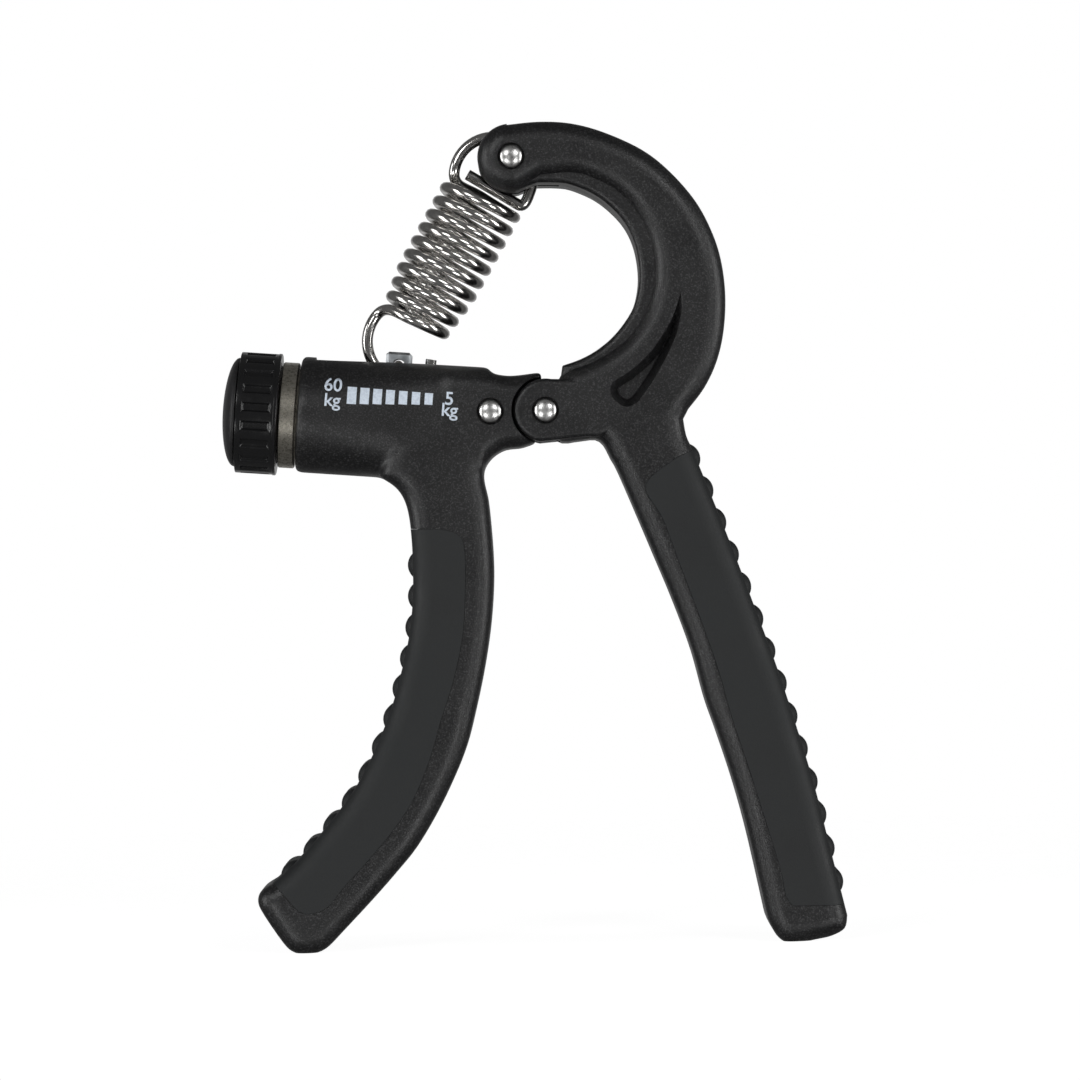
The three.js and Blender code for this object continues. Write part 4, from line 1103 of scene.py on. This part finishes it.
bar_count = 7
bar_first, bar_pitch = 9.15 * MM, 2.46 * MM
bar_wide, bar_narrow = 1.78 * MM, 1.55 * MM
bar_feet = (2.65 * MM, 3.43 * MM)
bar_heads = (5.93 * MM, 5.64 * MM)
print_front = -16 * MM
ink_lift = 0.02 * MM
ink_thick = 0.03 * MM
letter_size = 3.5 * MM
letter_swell = 0.05 * MM
LETTERS = [("60", 6.35 * MM, 4.95 * MM), ("kg", 6.38 * MM, 2.05 * MM),
           ("5", 28.6 * MM, 3.68 * MM), ("kg", 28.76 * MM, 1.55 * MM)]


def on_skin(piece, skin):
    """Cuts a flat print into strips, lays it on the skin and gives it the ink's thickness."""
    mesh = bmesh.new()
    mesh.from_mesh(piece.data)
    low = min(vertex.co.z for vertex in mesh.verts)
    high = max(vertex.co.z for vertex in mesh.verts)
    strip = 0.3 * MM
    for i in range(1, int((high - low) / strip) + 1):
        bmesh.ops.bisect_plane(mesh, geom=mesh.verts[:] + mesh.edges[:] + mesh.faces[:],
                               plane_co=(0, 0, low + i * strip), plane_no=(0, 0, 1))
    mesh.to_mesh(piece.data)
    mesh.free()
    put(piece, BARREL)
    worked(piece, "SHRINKWRAP", target=skin, wrap_method="PROJECT", use_project_x=False,
           use_project_y=True, use_project_z=False, use_positive_direction=True,
           use_negative_direction=False)
    put(piece, Matrix.Translation((0, -ink_lift, 0)))
    worked(piece, "SOLIDIFY", thickness=ink_thick, offset=1.0)


def scale_print(skin):
    parts = []
    for i in range(bar_count):
        share = i / (bar_count - 1)
        left = bar_first + i * bar_pitch
        right = left + bar_wide + (bar_narrow - bar_wide) * share
        foot = bar_feet[0] + (bar_feet[1] - bar_feet[0]) * share
        head = bar_heads[0] + (bar_heads[1] - bar_heads[0]) * share
        data = bpy.data.meshes.new("bar")
        corners = [(left, foot), (right, foot), (right, head), (left, head)]
        data.from_pydata([(u, print_front, w) for u, w in corners], [], [(0, 1, 2, 3)])
        bar = bpy.data.objects.new("bar", data)
        bpy.context.scene.collection.objects.link(bar)
        parts.append(bar)
    for text, u, w in LETTERS:
        data = bpy.data.curves.new("figure", "FONT")
        data.body = text
        data.size = letter_size
        data.align_x = "CENTER"
        data.offset = letter_swell
        figure = bpy.data.objects.new("figure", data)
        bpy.context.scene.collection.objects.link(figure)
        only(figure)
        bpy.ops.object.convert(target="MESH")
        figure = bpy.context.object
        put(figure, Matrix.Translation((u, print_front, w)) @ Matrix.Rotation(math.pi / 2, 4, "X"))
        parts.append(figure)
    for part in parts:
        on_skin(part, skin)
    bpy.ops.object.select_all(action="DESELECT")
    for part in parts:
        part.select_set(True)
    bpy.context.view_layer.objects.active = parts[0]
    bpy.ops.object.join()
    parts[0].name = "scale_print"
    finished(parts[0], "fixed_handle", ink, "white_nylon")


# Nodes whose CAD shape stays

CAD_FINISHES = {
    "liner_end_plug": zinc, "end_bush": nylon, "thrust_washer": steel, "hinge_bush": steel,
    "hinge_washer_front": steel, "hinge_washer_rear": steel, "spring_spool": steel, "knob_screw": steel,
    "screw_clip": steel, "anchor_pin": steel, "anchor_bush": steel,
}


def finish_nodes():
    for name, material in CAD_FINISHES.items():
        node = frame["nodes"][name]
        node.data.materials.clear()
        node.data.materials.append(material)


# Stage: floor, lights, white surroundings and camera

camera_from_hinge = (-1.03 * MM, -24.68 * MM)
camera_distance = 957 * MM
frame_width = 205.2 * MM
floor_radius = 0.5
floor_glow = 0.76
floor_glow_strength = 1.25
light_size = 0.30
light_watts = 2.1
side_size = (0.25, 0.7)
side_watts = 2.6
# Places of the lights from the middle of the view, in metres: across, towards the back, up
light_across = (-0.5, 0.5)
light_front = -0.85
light_up = (0.48, -0.40)
side_across = (-0.85, 0.85)
side_place = (-0.22, 0.05)
room_dim, room_white, room_fill = 0.10, 0.5, 0.06


def stage():
    bpy.ops.object.select_all(action="DESELECT")
    bpy.ops.mesh.primitive_circle_add(vertices=96, radius=floor_radius, fill_type="NGON")
    floor = bpy.context.object
    floor.name = "floor"
    floor.visible_glossy = False
    floor.visible_shadow = False
    # Matt white card, lit through for the camera, that fades out where the white surroundings start
    material, tree, shader, place = surface("white_card", Roughness=0.9, Base_Color=linear("#f2f2f2"))
    viewed = add(tree, "ShaderNodeMath", {
        0: add(tree, "ShaderNodeLightPath").outputs["Is Camera Ray"], 1: floor_glow,
    }, operation="MULTIPLY").outputs["Value"]
    glow = add(tree, "ShaderNodeEmission", {"Strength": floor_glow_strength}).outputs["Emission"]
    card = add(tree, "ShaderNodeMixShader", {0: viewed, 1: shader.outputs["BSDF"], 2: glow})
    away = add(tree, "ShaderNodeVectorMath", {0: place}, operation="LENGTH").outputs["Value"]
    shown = span(tree, away, 1.0, 0.0, 0.12, 0.42)
    clear = add(tree, "ShaderNodeBsdfTransparent").outputs["BSDF"]
    mixed = add(tree, "ShaderNodeMixShader", {0: shown, 1: clear, 2: card.outputs["Shader"]})
    tree.links.new(mixed.outputs["Shader"], tree.nodes["Material Output"].inputs["Surface"])
    floor.data.materials.append(material)

    aim = HAND @ Vector((0, 0, camera_from_hinge[1]))
    corners = [(x, light_front, z, light_size, light_size, light_watts)
               for x in light_across for z in light_up]
    sides = [(x, *side_place, *side_size, side_watts) for x in side_across]
    for x, y, z, width, height, watts in corners + sides:
        data = bpy.data.lights.new("soft_box", "AREA")
        data.shape, data.size, data.size_y = "RECTANGLE", width, height
        data.energy = watts
        light = bpy.data.objects.new("soft_box", data)
        light.location = aim + Vector((x, y, z))
        light.rotation_euler = (aim - light.location).to_track_quat("-Z", "Y").to_euler()
        bpy.context.scene.collection.objects.link(light)

    world = bpy.data.worlds.new("white_surroundings")
    bpy.context.scene.world = world
    world.use_nodes = True
    tree = world.node_tree
    background = tree.nodes["Background"]
    rays = add(tree, "ShaderNodeLightPath")
    seen = add(tree, "ShaderNodeMath", {
        0: rays.outputs["Is Camera Ray"], 1: rays.outputs["Is Transmission Ray"],
    }, operation="MAXIMUM").outputs["Value"]
    way = add(tree, "ShaderNodeSeparateXYZ", {"Vector": add(tree, "ShaderNodeTexCoord").outputs["Generated"]})
    # White only straight behind the object, and dim all round, as in a studio
    room = span(tree, way.outputs["Y"], room_dim, room_white, 0.8, 1.0)
    mirrored = add(tree, "ShaderNodeMath", {0: rays.outputs["Is Glossy Ray"], 1: room},
                   operation="MULTIPLY").outputs["Value"]
    base = add(tree, "ShaderNodeMath", {0: mirrored, 1: room_fill}, operation="MAXIMUM").outputs["Value"]
    glossy = add(tree, "ShaderNodeMix", {
        0: rays.outputs["Is Glossy Ray"], 2: base, 3: mirrored,
    }, data_type="FLOAT").outputs[0]
    strength = add(tree, "ShaderNodeMath", {0: glossy, 1: seen}, operation="MAXIMUM").outputs["Value"]
    tree.links.new(strength, background.inputs["Strength"])
    background.inputs["Color"].default_value = (1, 1, 1, 1)

    data = bpy.data.cameras.new("camera")
    data.sensor_width = 36
    data.lens = data.sensor_width * camera_distance / frame_width
    data.clip_start, data.clip_end = 0.05, 20
    camera = bpy.data.objects.new("camera", data)
    spot = Vector((camera_from_hinge[0], -camera_distance - half_width, camera_from_hinge[1]))
    camera.matrix_world = HAND @ Matrix.Translation(spot) @ Matrix.Rotation(math.pi / 2, 4, "X")
    bpy.context.scene.collection.objects.link(camera)
    bpy.context.scene.camera = camera
    bpy.context.scene.view_settings.view_transform = "Standard"


stage()
lever_pieces()
handle = fixed_pieces()
rivet("hinge_rivet_domed", hinge_shank, 0, 0, "hinge_core", "hinge_rivet")
rivet("liner_rivet_domed", liner_shank, *liner_rivet_spot, "fixed_handle", "liner_rivet")
rivet("spring_rivet_domed", eye_shank, eye_in_hand.x, eye_in_hand.z, "lever", "spring_rivet")
spring()
knob_ring()
knob_cap()
lead_screw()
liner()
carriage()
scale_print(handle)
finish_nodes()
